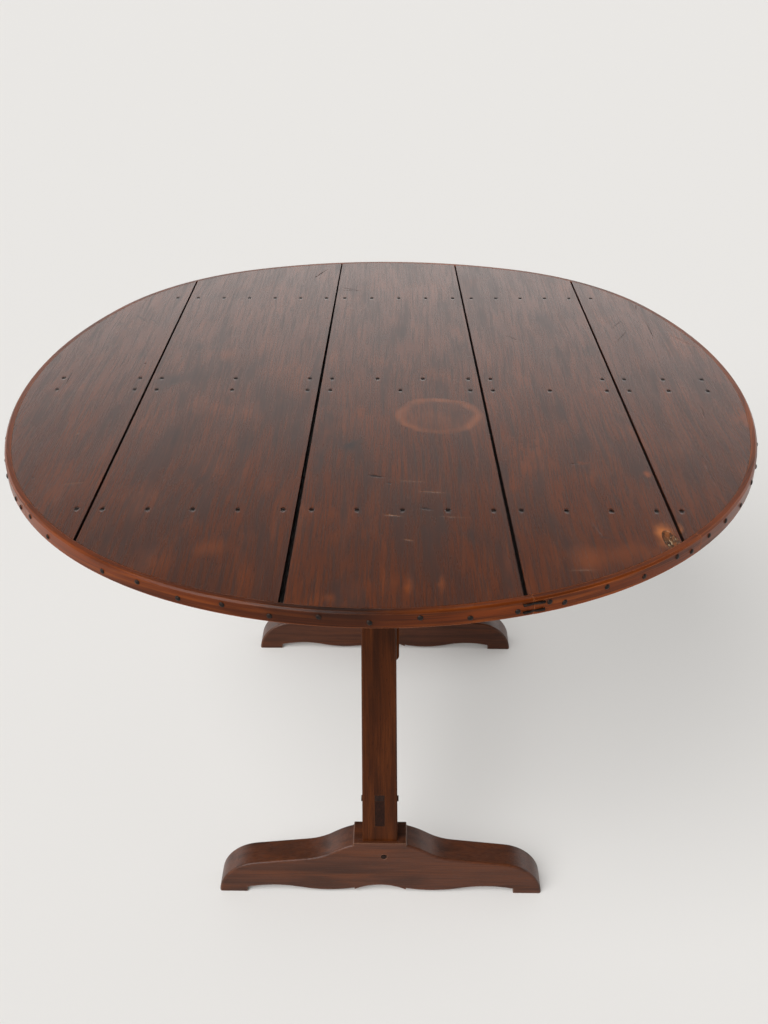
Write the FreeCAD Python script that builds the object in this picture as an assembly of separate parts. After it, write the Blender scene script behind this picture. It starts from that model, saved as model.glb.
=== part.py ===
import FreeCAD, Part
import math
import os

# Winemaker's tilt-top table: a hooped plank top that tips over a pegged trestle, held level by a
# swinging wing. Millimetres. The origin is on the floor under the middle of the top, +X to the
# right across the planks, +Y along the planks towards the back, +Z up.

# Top
TABLE_HEIGHT = 730.0            # floor to the upper face of the planks
TOP_WIDTH = 1088.0              # across the planks, over the hoop
TOP_LENGTH = 1148.0             # along the planks, over the hoop
BACK_CORNER = 397.0             # radius of the oval's fuller corners, over the hoop
BACK_TURNS = (27.1, 69.4)       # directions between which a corner swings over, degrees
FRONT_CORNER = 504.0
FRONT_TURNS = (16.9, 69.0)
PLANK_THICKNESS = 20.0
LAP_REACH = 7.0                 # tongue of each plank that lies under the next one
LAP_DEPTH = 9.0
LAP_FIT = 0.3
SEAM_SHARES = (-0.656, -0.173, 0.278, 0.656)    # seams at mid-length, over half the top's width
SEAM_SLANTS = (0.013, 0.017, -0.032, -0.024)    # sideways run of each seam towards the back
SEAM_GAPS_FRONT = (4.0, 6.5, 5.0, 4.5)          # open width of each seam at the front rim
SEAM_GAPS_BACK = (3.0, 2.5, 3.0, 3.0)           # open width of each seam at the back rim

# Bent hoop round the rim
HOOP_THICKNESS = 9.0
HOOP_HEIGHT = 21.0
HOOP_WEAR = 2.4                 # worn upper edge
HOOP_FIT = 0.4                  # hairline between hoop and plank ends
HOOP_JOINTS = (0.6058, 0.8019, 0.8729)  # places of the butt joints, shares of the way round the rim
HOOP_JOINT_KERF = 0.6

# Battens under the planks
MIDDLE_BATTEN_WIDTH = 84.0
MIDDLE_BATTEN_THICKNESS = 22.0
MIDDLE_BATTEN_PLACE = 10.0      # its centre line, towards the back
MIDDLE_BATTEN_BEVEL = 9.0       # bevel under its ends
BEARER_WIDTH = 64.0
BEARER_END_DEPTH = 26.0
BEARER_FLAT = 80.0              # full-depth length beyond the pivot
BEARER_END_MARGIN = 4.0         # from a bearer's end to the plank edge
BEARER_SETBACK = 24.0           # its corners are cut back from the plank edge, out of sight
MIDDLE_BATTEN_END_MARGIN = 26.0

# Nails
NAIL_HEAD = 5.2                 # square cut nails that taper from head to tip
NAIL_TIP = 2.0
NAIL_SET = 0.6                  # how far the heads are punched below the face
NAIL_HOLD = 16.0                # length of a nail in the batten
NAIL_EDGE = 15.0                # from a plank edge to the first nail of a row
BEARER_NAIL_SHIFT = 8.0         # the nail rows lie behind the bearers' centre lines
MIDDLE_NAIL_SPREAD = 41.0       # between the two rows of the middle batten
FRONT_NAIL_COUNTS = (1, 5, 5, 4, 1)   # nails of a row in each plank
MIDDLE_NEAR_NAIL_COUNTS = (2, 3, 3, 3, 3)
MIDDLE_FAR_NAIL_COUNTS = (2, 3, 4, 2, 3)
BACK_NAIL_COUNTS = (1, 6, 5, 5, 1)
HOOP_NAIL_COUNT = 64
HOOP_NAIL_HEAD = 7.0            # forged heads, hammered to a blunt point
HOOP_NAIL_HEAD_HEIGHT = 1.7
HOOP_NAIL_SHANK = 2.4
HOOP_NAIL_LENGTH = 24.0
HOOP_NAIL_SEAT = 0.2            # hairline under the heads on the curved hoop
HOOP_NAIL_OFFSET = 2.6          # nails stand above and below the middle of the hoop in turn
HOOP_NAIL_CLEAR = 11.0          # kept from the seams
HOOP_JOINT_CLEAR = 19.0         # from a joint of the hoop to the nail beside it
STAPLE_WIDTH = 26.0
STAPLE_WIRE = 2.4
STAPLE_LEG = 13.0
STAPLE_PITCH = 10.0             # between the two staples of a joint

# Trestle
POST_SPACING_SHARE = 0.5453     # between the centre lines of the posts, over the top's length
POST_DEPTH = 36.0
POST_WIDTH_FOOT = 54.5
POST_WIDTH_HEAD = 46.0
POST_ARRIS = 1.8                # worn corners
POST_TENON_WIDTH = 34.0
POST_TENON_THICKNESS = 13.0
FOOT_LENGTH = 514.0
FOOT_THICKNESS = 46.0
FOOT_HEIGHT = 111.0
FOOT_ARRIS = 2.4                # worn upper edges
FOOT_BLOCK_MARGIN = 14.0        # raised block beyond each side of the post
FOOT_BLOCK_STEP = 5.0
FOOT_OGEE_LENGTH = 74.0
FOOT_ARM_END_HEIGHT = 64.0
FOOT_ARM_RISE = 10.0
FOOT_END_LENGTH = 60.0          # rounded toe
FOOT_OGEE_TURN = 33.0           # from the block to where the ogee swings over
FOOT_OGEE_RISE = 15.5           # height of that place over the arm
FOOT_PAD_LENGTH = 45.0
FOOT_PAD_STEP = 10.0
FOOT_ARCH_HEIGHT = 15.0
FOOT_ARCH_SHARE = 0.21          # crown of the arch, as a share of the way from pad to cusp
FOOT_TURN_HEIGHT = 10.5         # where the arch swings over into the lobe
FOOT_TURN_SHARE = 0.5
FOOT_CUSP_HEIGHT = 9.6          # inner end of the lobe
FOOT_QUIRK = 3.7                # small step down from there to the middle arch
FOOT_CENTRE_ARCH = 17.0
FOOT_MORTISE_FLOOR = 18.0       # wood left under the post's tenon
STRETCHER_MIDDLE = 176.0        # height of its centre line
STRETCHER_HEIGHT = 70.0
STRETCHER_THICKNESS = 30.0
STRETCHER_ARRIS = 1.4
STRETCHER_TENON_HEIGHT = 53.0
STRETCHER_TENON_THICKNESS = 15.0
STRETCHER_SHOULDER = 2.0        # below the tenon
WEDGE_HEIGHT = 13.0             # key wedge over the tenon, at the outer face
WEDGE_TAPER = 3.0
JOINT_FIT = 0.15                # play of tenons and pegs in their mortises and holes
PEG_SIZE = 9.0                  # whittled eight-sided pegs, across the flats
PEG_SIDES = 8
FOOT_PEG_PLACE = 6.0            # to the right of the post's centre line
FOOT_PEG_DROP = 30.0            # below the top of the foot
STRETCHER_PEG_RISE = 9.0        # above the stretcher's centre line
PEG_STAND = 1.4                 # the stretcher pegs stand proud of the post
BEAM_WIDTH = 130.0
BEAM_THICKNESS = 46.0
BEAM_OVERHANG = 2.0             # past the outer face of the post
BEAM_CHAMFER = 5.0
BEAM_NOSE_RADIUS = 22.0         # round of the edge that the top turns about
HEAD_WEDGE_DEPTH = 24.0
HEAD_WEDGE_WIDTH = 5.0
HEAD_WEDGE_TIP = 1.0

# Tilting and swinging fits
TILT_GAP = 1.0                  # between the beam and the middle batten
BEARER_GAP = 1.5                # between the beam's end and the bearer
PIVOT_RADIUS = 9.0
PIVOT_PLAY = 0.1
PIVOT_REACH = 48.0              # length of a pivot pin in the beam
PIVOT_HEAD = 28.0               # whittled eight-sided head, across the flats
PIVOT_HEAD_HEIGHT = 7.0
PIVOT_WOOD = 26.0               # bearer below the pivot's centre
WING_FOOT_GAP = 0.5             # over the stretcher
WING_HEAD_GAP = 1.0             # under the beam
REST_GAP = 0.3                  # between the wing and the rest that it carries

# Swinging wing
WING_POST_CLEARANCE = 13.0      # to the post when folded
WING_STILE_WIDTH = 58.0
WING_STILE_THICKNESS = 28.0
WING_STILE_ROUND = 12.0         # lower corners
WING_ARM_HEIGHT = 44.0
WING_ARM_THICKNESS = 22.0
WING_ARM_NOSE = 26.0            # rounded lower corner at its end
WING_LOWER_ARM_HEIGHT = 38.0
WING_LOWER_ARM_RISE = 132.0     # over the foot of the stile
WING_END_STILE_WIDTH = 40.0
WING_END_STILE_SETBACK = 30.0   # from the end of the upper arm
WING_END_STILE_DROP = 24.0      # below the lower arm
WING_TENON_LENGTH = 28.0
WING_TENON_THICKNESS = 9.0
WING_TENON_SHOULDER = 6.0
WING_PIN_RADIUS = 9.0
WING_PIN_LENGTH = 28.0
WING_PEG_SIZE = 7.0
REST_LENGTH = 76.0
REST_WIDTH = 62.0
REST_BEVEL = 8.0
REST_NAIL_SPREAD = 44.0

# Levels and places that follow from the sizes above
UNDERSIDE = TABLE_HEIGHT - PLANK_THICKNESS
BATTEN_FACE = UNDERSIDE - MIDDLE_BATTEN_THICKNESS
BEAM_TOP = BATTEN_FACE - TILT_GAP
BEAM_BOTTOM = BEAM_TOP - BEAM_THICKNESS
PIVOT_X = BEAM_WIDTH / 2 - BEAM_NOSE_RADIUS
PIVOT_Z = BEAM_TOP - BEAM_NOSE_RADIUS
POST_PLACE = TOP_LENGTH * POST_SPACING_SHARE / 2
POST_OUTER = POST_PLACE + POST_DEPTH / 2
POST_INNER = POST_PLACE - POST_DEPTH / 2
BEAM_END = POST_OUTER + BEAM_OVERHANG
BEARER_INNER = BEAM_END + BEARER_GAP
BEARER_PLACE = BEARER_INNER + BEARER_WIDTH / 2
BEARER_OUTER = BEARER_INNER + BEARER_WIDTH
BEARER_FACE = PIVOT_Z - PIVOT_WOOD
STRETCHER_TOP = STRETCHER_MIDDLE + STRETCHER_HEIGHT / 2
STRETCHER_FOOT = STRETCHER_MIDDLE - STRETCHER_HEIGHT / 2
WING_FOOT = STRETCHER_TOP + WING_FOOT_GAP
WING_HEAD = BEAM_BOTTOM - WING_HEAD_GAP
WING_REACH = POST_INNER - WING_POST_CLEARANCE
SEAM_PLACES = tuple(share * TOP_WIDTH / 2 for share in SEAM_SHARES)
PLANK_INSET = HOOP_THICKNESS + HOOP_FIT
NAIL_LENGTH = PLANK_THICKNESS + NAIL_HOLD
PLANK_NAMES = ("plank_far_left", "plank_left", "plank_centre", "plank_right", "plank_far_right")
PAST = 5.0                      # how far a cutting shape runs past the face it opens
TOUCH = 0.01                    # points nearer than this are the same place

UP = FreeCAD.Vector(0, 0, 1)


def vec(x, y, z):
    return FreeCAD.Vector(x, y, z)


def block(x, y, z):
    """A box between the low and high value of each axis."""
    return Part.makeBox(x[1] - x[0], y[1] - y[0], z[1] - z[0], vec(x[0], y[0], z[0]))


def prism(points, run):
    """A straight-sided outline, extruded by the vector run."""
    return Part.Face(Part.makePolygon(points + points[:1])).extrude(run)


def profile(edges, run):
    """An outline of edges in order, extruded by the vector run."""
    return Part.Face(Part.Wire(edges)).extrude(run)


def line(start, end):
    return Part.LineSegment(start, end).toShape()


def arc(start, through, end):
    return Part.Arc(start, through, end).toShape()


def carry_on(edge, end):
    """An arc that leaves the end of an edge smoothly and runs to a point."""
    start = edge.valueAt(edge.LastParameter)
    heading = edge.tangentAt(edge.LastParameter)
    chord = end - start
    half_way = heading + chord * (1 / chord.Length)
    return arc(start, start + half_way * (chord.Length / half_way.Length ** 2), end)


def ogee(lead, turn, end):
    """Two arcs that carry on from a lead-in edge, swing over at one point and run to another."""
    first = carry_on(lead, turn)
    return [first, carry_on(first, end)]


def cylinder(radius, start, end):
    run = end - start
    return Part.makeCylinder(radius, run.Length, start, run)


def quarter(inset, corner, turns):
    """Side, corner and end arc of a quarter of the oval as centre x, y, radius and two directions."""
    half_x = TOP_WIDTH / 2 - inset
    half_y = TOP_LENGTH / 2 - inset
    corner -= inset
    first, second = (math.radians(turn) for turn in turns)
    across = corner * (math.cos(first) - math.cos(second)) - half_x
    along = corner * (math.sin(first) - math.sin(second)) + half_y
    short = math.cos(first) - 1
    low = 1 - math.sin(second)
    share = short * low + math.cos(second) * math.sin(first)
    side = (across * low + along * math.cos(second)) / share
    end = (along * short - across * math.sin(first)) / share
    step = side - corner
    return [
        (half_x - side, 0, side, 0, first),
        (half_x - side + step * math.cos(first), step * math.sin(first), corner, first, second),
        (0, half_y - end, end, second, math.pi / 2),
    ]


def rim(inset):
    """The arcs of the oval in order from its right-hand end, moved inwards by inset."""
    back = quarter(inset, BACK_CORNER, BACK_TURNS)
    front = quarter(inset, FRONT_CORNER, FRONT_TURNS)
    arcs = list(back)
    arcs += [(-x, y, radius, math.pi - high, math.pi - low) for x, y, radius, low, high in back[::-1]]
    arcs += [(-x, -y, radius, math.pi + low, math.pi + high) for x, y, radius, low, high in front]
    arcs += [(x, -y, radius, -high, -low) for x, y, radius, low, high in front[::-1]]
    return arcs


def rim_length():
    """Length round the hoop's outer face."""
    return sum(radius * (high - low) for x, y, radius, low, high in rim(0))


def oval(inset, z):
    """The level outline of the top, moved inwards by inset."""
    edges = []
    for x, y, radius, low, high in rim(inset):
        centre = vec(x, y, z)
        turns = (low, (low + high) / 2, high)
        start, through, end = [centre + vec(math.cos(t), math.sin(t), 0) * radius for t in turns]
        edges.append(arc(start, through, end))
    return Part.Wire(edges)


def oval_prism(inset, low, high):
    """An upright disc of the top's outline between two levels."""
    return Part.Face(oval(inset, low)).extrude(vec(0, 0, high - low))


def plank_half_width(place):
    """Half the width of the planked oval at a place along it, at its narrower end."""
    halves = []
    for corner, turns in ((BACK_CORNER, BACK_TURNS), (FRONT_CORNER, FRONT_TURNS)):
        for x, y, radius, low, high in quarter(PLANK_INSET, corner, turns):
            if radius * math.sin(low) <= place - y < radius * math.sin(high):
                halves.append(x + math.sqrt(radius ** 2 - (place - y) ** 2))
    return min(halves)


def seam_edge(seam, y, side):
    """The plank edge on one side of a seam: side -1 to its left, +1 to its right."""
    share = 0.5 + y / TOP_LENGTH
    gap = SEAM_GAPS_FRONT[seam] + share * (SEAM_GAPS_BACK[seam] - SEAM_GAPS_FRONT[seam])
    return SEAM_PLACES[seam] + SEAM_SLANTS[seam] * y + side * gap / 2


def plank_edges(plank, y):
    """Left and right edge of a plank at a place along it, not counting the rim."""
    left = -TOP_WIDTH if plank == 0 else seam_edge(plank - 1, y, 1)
    right = TOP_WIDTH if plank == len(SEAM_PLACES) else seam_edge(plank, y, -1)
    return left, right


def rim_point(run, z):
    """A point on the hoop's outer face, a run along it from the right-hand end, and the way out there."""
    left = run % rim_length()
    for x, y, radius, low, high in rim(0):
        length = radius * (high - low)
        if left < length:
            break
        left -= length
    turn = low + left / radius
    outward = vec(math.cos(turn), math.sin(turn), 0)
    return vec(x, y, z) + outward * radius, outward


def placed(shape, point, outward):
    """A copy of a shape with its origin at point and its +Z turned to outward."""
    copy = shape.copy()
    copy.Placement = FreeCAD.Placement(point, FreeCAD.Rotation(UP, outward)).multiply(shape.Placement)
    return copy


def square(size, low, high):
    return block((-size / 2, size / 2), (-size / 2, size / 2), (low, high))


def spike(head, top, tip, bottom):
    """A square spike along Z whose size runs from head at its top to tip at its bottom."""
    wide = head / 2
    thin = tip / 2
    solid = Part.makeWedge(-thin, bottom, -thin, -wide, -wide, thin, top, thin, wide, wide)
    return solid.rotate(vec(0, 0, 0), vec(1, 0, 0), 90)


def rose_head(size, low, point):
    """A four-faced nail head from its seat to its point."""
    half = size / 2
    corners = [vec(x, y, low) for x, y in ((-half, -half), (half, -half), (half, half), (-half, half))]
    tip = vec(0, 0, point)
    faces = [Part.Face(Part.makePolygon(corners + corners[:1]))]
    for i, corner in enumerate(corners):
        faces.append(Part.Face(Part.makePolygon([corner, corners[i - 1], tip, corner])))
    return Part.Solid(Part.makeShell(faces))


def peg(size, start, end):
    """An eight-sided peg between two points, or its hole."""
    run = end - start
    radius = size / 2 / math.cos(math.pi / PEG_SIDES)
    turns = [math.pi / PEG_SIDES * (2 * i + 1) for i in range(PEG_SIDES)]
    corners = [vec(radius * math.cos(turn), radius * math.sin(turn), 0) for turn in turns]
    return placed(prism(corners, vec(0, 0, run.Length)), start, run)


def plank_nail(length):
    """A cut nail along -Z, its head punched below the face that it is driven through."""
    return spike(NAIL_HEAD, -NAIL_SET, NAIL_TIP, -length)


def plank_nail_hole(length):
    """The nail's own hole, which runs on to the face and past it with the same taper."""
    taper = (NAIL_HEAD - NAIL_TIP) / (length - NAIL_SET)
    return spike(NAIL_HEAD + taper * (NAIL_SET + PAST), PAST, NAIL_TIP, -length)


def row_places(plank, y, count, half_length):
    """Places of a row's nails across one plank; a single nail halves the way to the batten's end."""
    left, right = plank_edges(plank, y)
    low = max(left, -half_length) + NAIL_EDGE
    high = min(right, half_length) - NAIL_EDGE
    if count == 1:
        return [(low + high) / 2]
    return [low + (high - low) * i / (count - 1) for i in range(count)]


def nail_rows():
    """Every plank nail as (plank, x, y)."""
    rows = (
        (-BEARER_PLACE + BEARER_NAIL_SHIFT, FRONT_NAIL_COUNTS, bearer_half_length()),
        (MIDDLE_BATTEN_PLACE - MIDDLE_NAIL_SPREAD / 2, MIDDLE_NEAR_NAIL_COUNTS, middle_half_length()),
        (MIDDLE_BATTEN_PLACE + MIDDLE_NAIL_SPREAD / 2, MIDDLE_FAR_NAIL_COUNTS, middle_half_length()),
        (BEARER_PLACE + BEARER_NAIL_SHIFT, BACK_NAIL_COUNTS, bearer_half_length()),
    )
    nails = []
    for y, counts, half_length in rows:
        for plank, count in enumerate(counts):
            nails += [(plank, x, y) for x in row_places(plank, y, count, half_length)]
    return nails


def middle_half_length():
    far_edge = abs(MIDDLE_BATTEN_PLACE) + MIDDLE_BATTEN_WIDTH / 2
    return plank_half_width(far_edge) - MIDDLE_BATTEN_END_MARGIN


def bearer_half_length():
    return plank_half_width(BEARER_OUTER) - BEARER_END_MARGIN


def strip(edges, low, high):
    """A strip along the planks between two levels; edges gives its left and right at a place along."""
    front = -TOP_LENGTH / 2
    back = TOP_LENGTH / 2
    front_left, front_right = edges(front)
    back_left, back_right = edges(back)
    outline = [
        vec(front_left, front, low),
        vec(front_right, front, low),
        vec(back_right, back, low),
        vec(back_left, back, low),
    ]
    return prism(outline, vec(0, 0, high - low))


def lap(seam, y, fit):
    """Left and right edge of the tongue under a seam, or of its rebate."""
    return seam_edge(seam, y, -1) - PAST, seam_edge(seam, y, 1) + LAP_REACH + fit


def planks():
    """The five planks, sawn to the oval, lapped under the tapering open seams between them."""
    disc = oval_prism(PLANK_INSET, UNDERSIDE, TABLE_HEIGHT)
    lap_top = UNDERSIDE + LAP_DEPTH
    boards = []
    for plank in range(len(PLANK_NAMES)):
        board = strip(lambda y: plank_edges(plank, y), UNDERSIDE - PAST, TABLE_HEIGHT + PAST)
        if plank < len(SEAM_PLACES):
            board = board.fuse(strip(lambda y: lap(plank, y, 0), UNDERSIDE - PAST, lap_top))
        if plank > 0:
            rebate = strip(lambda y: lap(plank - 1, y, LAP_FIT), UNDERSIDE - 2 * PAST, lap_top + LAP_FIT)
            board = board.cut(rebate)
        boards.append(disc.common(board).removeSplitter())
    return boards


def hoop_disc(low):
    """The full disc inside the hoop's outer face, its upper edge worn off."""
    disc = oval_prism(0, low, TABLE_HEIGHT)
    worn = [edge for edge in disc.Edges if edge.BoundBox.ZMin > (low + TABLE_HEIGHT) / 2]
    return disc.makeChamfer(HOOP_WEAR, worn)


def hoop_strips():
    """The hoop's strips in order round the rim, from the first joint on."""
    low = TABLE_HEIGHT - HOOP_HEIGHT
    ring = hoop_disc(low).cut(oval_prism(HOOP_THICKNESS, low - PAST, TABLE_HEIGHT + PAST))
    kerf = block(
        (-HOOP_JOINT_KERF / 2, HOOP_JOINT_KERF / 2),
        (-HOOP_HEIGHT, HOOP_HEIGHT),
        (-2 * HOOP_THICKNESS, 2 * HOOP_THICKNESS),
    )
    cuts = []
    for joint in HOOP_JOINTS:
        point, outward = rim_point(joint * rim_length(), TABLE_HEIGHT - HOOP_HEIGHT / 2)
        cuts.append(on_rim(kerf, point, outward))
    strips = ring.cut(Part.makeCompound(cuts)).Solids
    first = direction(rim_point(HOOP_JOINTS[0] * rim_length(), 0)[0])
    return sorted(strips, key=lambda piece: (direction(piece.CenterOfMass) - first) % (2 * math.pi))


def on_rim(solid, point, outward):
    """A copy of a solid at a point of the rim, its Z axis outwards and its Y axis up."""
    moved = solid.copy()
    turn = FreeCAD.Rotation(outward.cross(UP), UP, outward, "ZXY")
    moved.Placement = FreeCAD.Placement(point, turn)
    return moved


def direction(point):
    """Direction of a point from the middle of the top."""
    return math.atan2(point.y, point.x)


def clear_of_seams(point):
    for seam in range(len(SEAM_PLACES)):
        if abs(point.x - SEAM_PLACES[seam] - SEAM_SLANTS[seam] * point.y) < HOOP_NAIL_CLEAR:
            return False
    return True


def clear_of_joints(run):
    length = rim_length()
    for joint in HOOP_JOINTS:
        away = (run - joint * length + length / 2) % length - length / 2
        if abs(away) < HOOP_JOINT_CLEAR + HOOP_NAIL_HEAD:
            return False
    return True


def hoop_nail_places():
    """Nails round the rim, staggered in height, with a pair on each side of every joint."""
    middle = TABLE_HEIGHT - HOOP_HEIGHT / 2
    places = []
    for i in range(HOOP_NAIL_COUNT):
        run = rim_length() * i / HOOP_NAIL_COUNT
        stagger = HOOP_NAIL_OFFSET if i % 2 else -HOOP_NAIL_OFFSET
        point, outward = rim_point(run, middle + stagger)
        if clear_of_seams(point) and clear_of_joints(run):
            places.append((point, outward))
    for joint in HOOP_JOINTS:
        for side in (-1, 1):
            beside = joint * rim_length() + side * HOOP_JOINT_CLEAR
            places.append(rim_point(beside, middle + side * HOOP_NAIL_OFFSET))
    return places


def hoop_nails():
    """Forged nails, driven through the hoop into the plank edges."""
    head = rose_head(HOOP_NAIL_HEAD, HOOP_NAIL_SEAT, HOOP_NAIL_SEAT + HOOP_NAIL_HEAD_HEIGHT)
    shank = square(HOOP_NAIL_SHANK, -HOOP_NAIL_LENGTH, HOOP_NAIL_SEAT)
    nail = head.fuse(shank).removeSplitter()
    return [on_rim(nail, point, outward) for point, outward in hoop_nail_places()]


def hoop_staples():
    """Two iron staples across the front joint of the hoop."""
    half = STAPLE_WIDTH / 2
    crown = block((-half, half), (-STAPLE_WIRE / 2, STAPLE_WIRE / 2), (0, STAPLE_WIRE))
    for side in (-1, 1):
        leg = square(STAPLE_WIRE, -STAPLE_LEG, STAPLE_WIRE)
        leg.translate(vec(side * (half - STAPLE_WIRE / 2), 0, 0))
        crown = crown.fuse(leg)
    crown = crown.removeSplitter()
    point, outward = rim_point(HOOP_JOINTS[1] * rim_length(), TABLE_HEIGHT - HOOP_HEIGHT / 2)
    return [on_rim(crown, point + UP * (side * STAPLE_PITCH / 2), outward) for side in (-1, 1)]


def middle_batten():
    """The thin batten under the middle of the planks, bevelled under its ends."""
    half = middle_half_length()
    low = MIDDLE_BATTEN_PLACE - MIDDLE_BATTEN_WIDTH / 2
    outline = [
        vec(-half, low, UNDERSIDE),
        vec(-half, low, BATTEN_FACE + MIDDLE_BATTEN_BEVEL),
        vec(-half + MIDDLE_BATTEN_BEVEL, low, BATTEN_FACE),
        vec(half - MIDDLE_BATTEN_BEVEL, low, BATTEN_FACE),
        vec(half, low, BATTEN_FACE + MIDDLE_BATTEN_BEVEL),
        vec(half, low, UNDERSIDE),
    ]
    return prism(outline, vec(0, MIDDLE_BATTEN_WIDTH, 0))


def bearer(side):
    """A deep batten outside one post, swept up thin to its rounded ends, bored for its pivot pin."""
    half = bearer_half_length()
    flat = PIVOT_X + BEARER_FLAT
    end = UNDERSIDE - BEARER_END_DEPTH
    y = side * BEARER_PLACE - BEARER_WIDTH / 2
    under = line(vec(-flat, y, BEARER_FACE), vec(flat, y, BEARER_FACE))
    sweep = ogee(under, vec((flat + half) / 2, y, (BEARER_FACE + end) / 2), vec(half, y, end))
    mirrored = [edge.mirror(vec(0, 0, 0), vec(1, 0, 0)) for edge in sweep]
    ends = [line(vec(x, y, end), vec(x, y, UNDERSIDE)) for x in (half, -half)]
    seat = line(vec(half, y, UNDERSIDE), vec(-half, y, UNDERSIDE))
    edges = Part.__sortEdges__([under, seat] + sweep + mirrored + ends)
    solid = profile(edges, vec(0, BEARER_WIDTH, 0))
    within = oval_prism(PLANK_INSET + BEARER_SETBACK, BEARER_FACE - PAST, UNDERSIDE + PAST)
    return solid.common(within).cut(pivot_bore(side, BEARER_OUTER + PAST, BEARER_INNER - PAST))


def pivot_bore(side, outer, inner):
    """A hole for a pivot pin, from an outer to an inner place along the table."""
    start = vec(PIVOT_X, side * outer, PIVOT_Z)
    return cylinder(PIVOT_RADIUS + PIVOT_PLAY, start, vec(PIVOT_X, side * inner, PIVOT_Z))


def pivot_pin(side):
    """A turned pin with a whittled head, through the bearer and into the beam's end."""
    seat = vec(PIVOT_X, side * BEARER_OUTER, PIVOT_Z)
    head = peg(PIVOT_HEAD, seat, seat + vec(0, side * PIVOT_HEAD_HEIGHT, 0))
    tip = vec(PIVOT_X, side * (BEAM_END - PIVOT_REACH), PIVOT_Z)
    return head.fuse(cylinder(PIVOT_RADIUS, seat, tip))


def wing_rest():
    """The block under the middle batten that the opened wing carries."""
    low = WING_HEAD + REST_GAP
    left = -WING_REACH
    right = left + REST_LENGTH
    outline = [
        vec(left, 0, BATTEN_FACE),
        vec(left, 0, low),
        vec(right - REST_BEVEL, 0, low),
        vec(right, 0, low + REST_BEVEL),
        vec(right, 0, BATTEN_FACE),
    ]
    solid = prism(outline, vec(0, REST_WIDTH, 0))
    solid.translate(vec(0, rest_place() - REST_WIDTH / 2, 0))
    return solid


def rest_place():
    """The rest's centre line, half way between the batten's and the wing's."""
    return MIDDLE_BATTEN_PLACE / 2


def rest_nails():
    """Two nails up through the rest into the batten."""
    length = BATTEN_FACE - WING_HEAD - REST_GAP + NAIL_HOLD
    centre = -WING_REACH + REST_LENGTH / 2
    places = [centre + side * REST_NAIL_SPREAD / 2 for side in (-1, 1)]
    spots = [vec(x, rest_place(), WING_HEAD + REST_GAP) for x in places]
    nails = [placed(plank_nail(length), spot, -UP) for spot in spots]
    holes = [placed(plank_nail_hole(length), spot, -UP) for spot in spots]
    return nails, holes


def block_half():
    """Half the length of the raised block that the post stands on."""
    return POST_WIDTH_FOOT / 2 + FOOT_BLOCK_MARGIN


def arm_top(y):
    """The worn upper edge of a foot's right arm, from the floor over the toe and up to the block."""
    toe = vec(FOOT_LENGTH / 2 - FOOT_END_LENGTH, y, FOOT_ARM_END_HEIGHT)
    arm = FOOT_ARM_END_HEIGHT + FOOT_ARM_RISE
    root = vec(block_half() + FOOT_OGEE_LENGTH, y, arm)
    turn = vec(block_half() + FOOT_OGEE_TURN, y, arm + FOOT_OGEE_RISE)
    shoulder = vec(block_half(), y, FOOT_HEIGHT - FOOT_BLOCK_STEP)
    inward = line(toe, root)
    end = carry_on(line(root, toe), vec(FOOT_LENGTH / 2, y, 0))
    return [end, inward] + ogee(inward, turn, shoulder)


def arm_underside(y):
    """The pad, arch, lobe and quirk under a foot's right arm, from the toe inwards."""
    half = FOOT_LENGTH / 2
    pad = half - FOOT_PAD_LENGTH
    span = pad - block_half()
    step = vec(pad, y, FOOT_PAD_STEP)
    crown = vec(pad - FOOT_ARCH_SHARE * span, y, FOOT_ARCH_HEIGHT)
    turn = vec(pad - FOOT_TURN_SHARE * span, y, FOOT_TURN_HEIGHT)
    cusp = vec(block_half(), y, FOOT_CUSP_HEIGHT)
    arch = arc(step, crown, turn)
    sole = line(vec(half, y, 0), vec(pad, y, 0))
    riser = line(vec(pad, y, 0), step)
    quirk = line(cusp, cusp - vec(0, 0, FOOT_QUIRK))
    return [sole, riser, arch, carry_on(arch, cusp), quirk]


def foot(side):
    """A sled foot with ogee arms and worn upper edges, mortised for its post and bored for its peg."""
    y = side * POST_PLACE - FOOT_THICKNESS / 2
    half = block_half()
    rise = line(vec(half, y, FOOT_HEIGHT - FOOT_BLOCK_STEP), vec(half, y, FOOT_HEIGHT))
    top = arm_top(y)
    right = top + arm_underside(y) + [rise]
    left = [edge.mirror(vec(0, 0, 0), vec(1, 0, 0)) for edge in right]
    seat = line(vec(half, y, FOOT_HEIGHT), vec(-half, y, FOOT_HEIGHT))
    springs = [vec(end * half, y, FOOT_CUSP_HEIGHT - FOOT_QUIRK) for end in (-1, 1)]
    centre = arc(springs[0], vec(0, y, FOOT_CENTRE_ARCH), springs[1])
    outline = Part.__sortEdges__(right + left + [seat, centre])
    solid = profile(outline, vec(0, FOOT_THICKNESS, 0))
    solid = solid.makeChamfer(FOOT_ARRIS, worn_edges(solid, top))
    return solid.cut(post_tenon(side, JOINT_FIT)).cut(foot_peg(side, JOINT_FIT))


def worn_edges(solid, top):
    """The edges of a foot along the tops of both arms, on its front and back faces."""
    spots = []
    for edge in top:
        centre = edge.CenterOfMass
        for x in (centre.x, -centre.x):
            spots += [vec(x, y, centre.z) for y in (centre.y, centre.y + FOOT_THICKNESS)]
    return [e for e in solid.Edges if min(e.CenterOfMass.distanceToPoint(s) for s in spots) < TOUCH]


def tenon_floor():
    return FOOT_CENTRE_ARCH + FOOT_MORTISE_FLOOR


def post_tenon(side, fit):
    """The post's lower tenon, or its mortise where fit is the play."""
    half_width = POST_TENON_WIDTH / 2 + fit
    half_thick = POST_TENON_THICKNESS / 2 + fit
    y = side * POST_PLACE
    level = (tenon_floor() - fit, FOOT_HEIGHT)
    return block((-half_width, half_width), (y - half_thick, y + half_thick), level)


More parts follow.
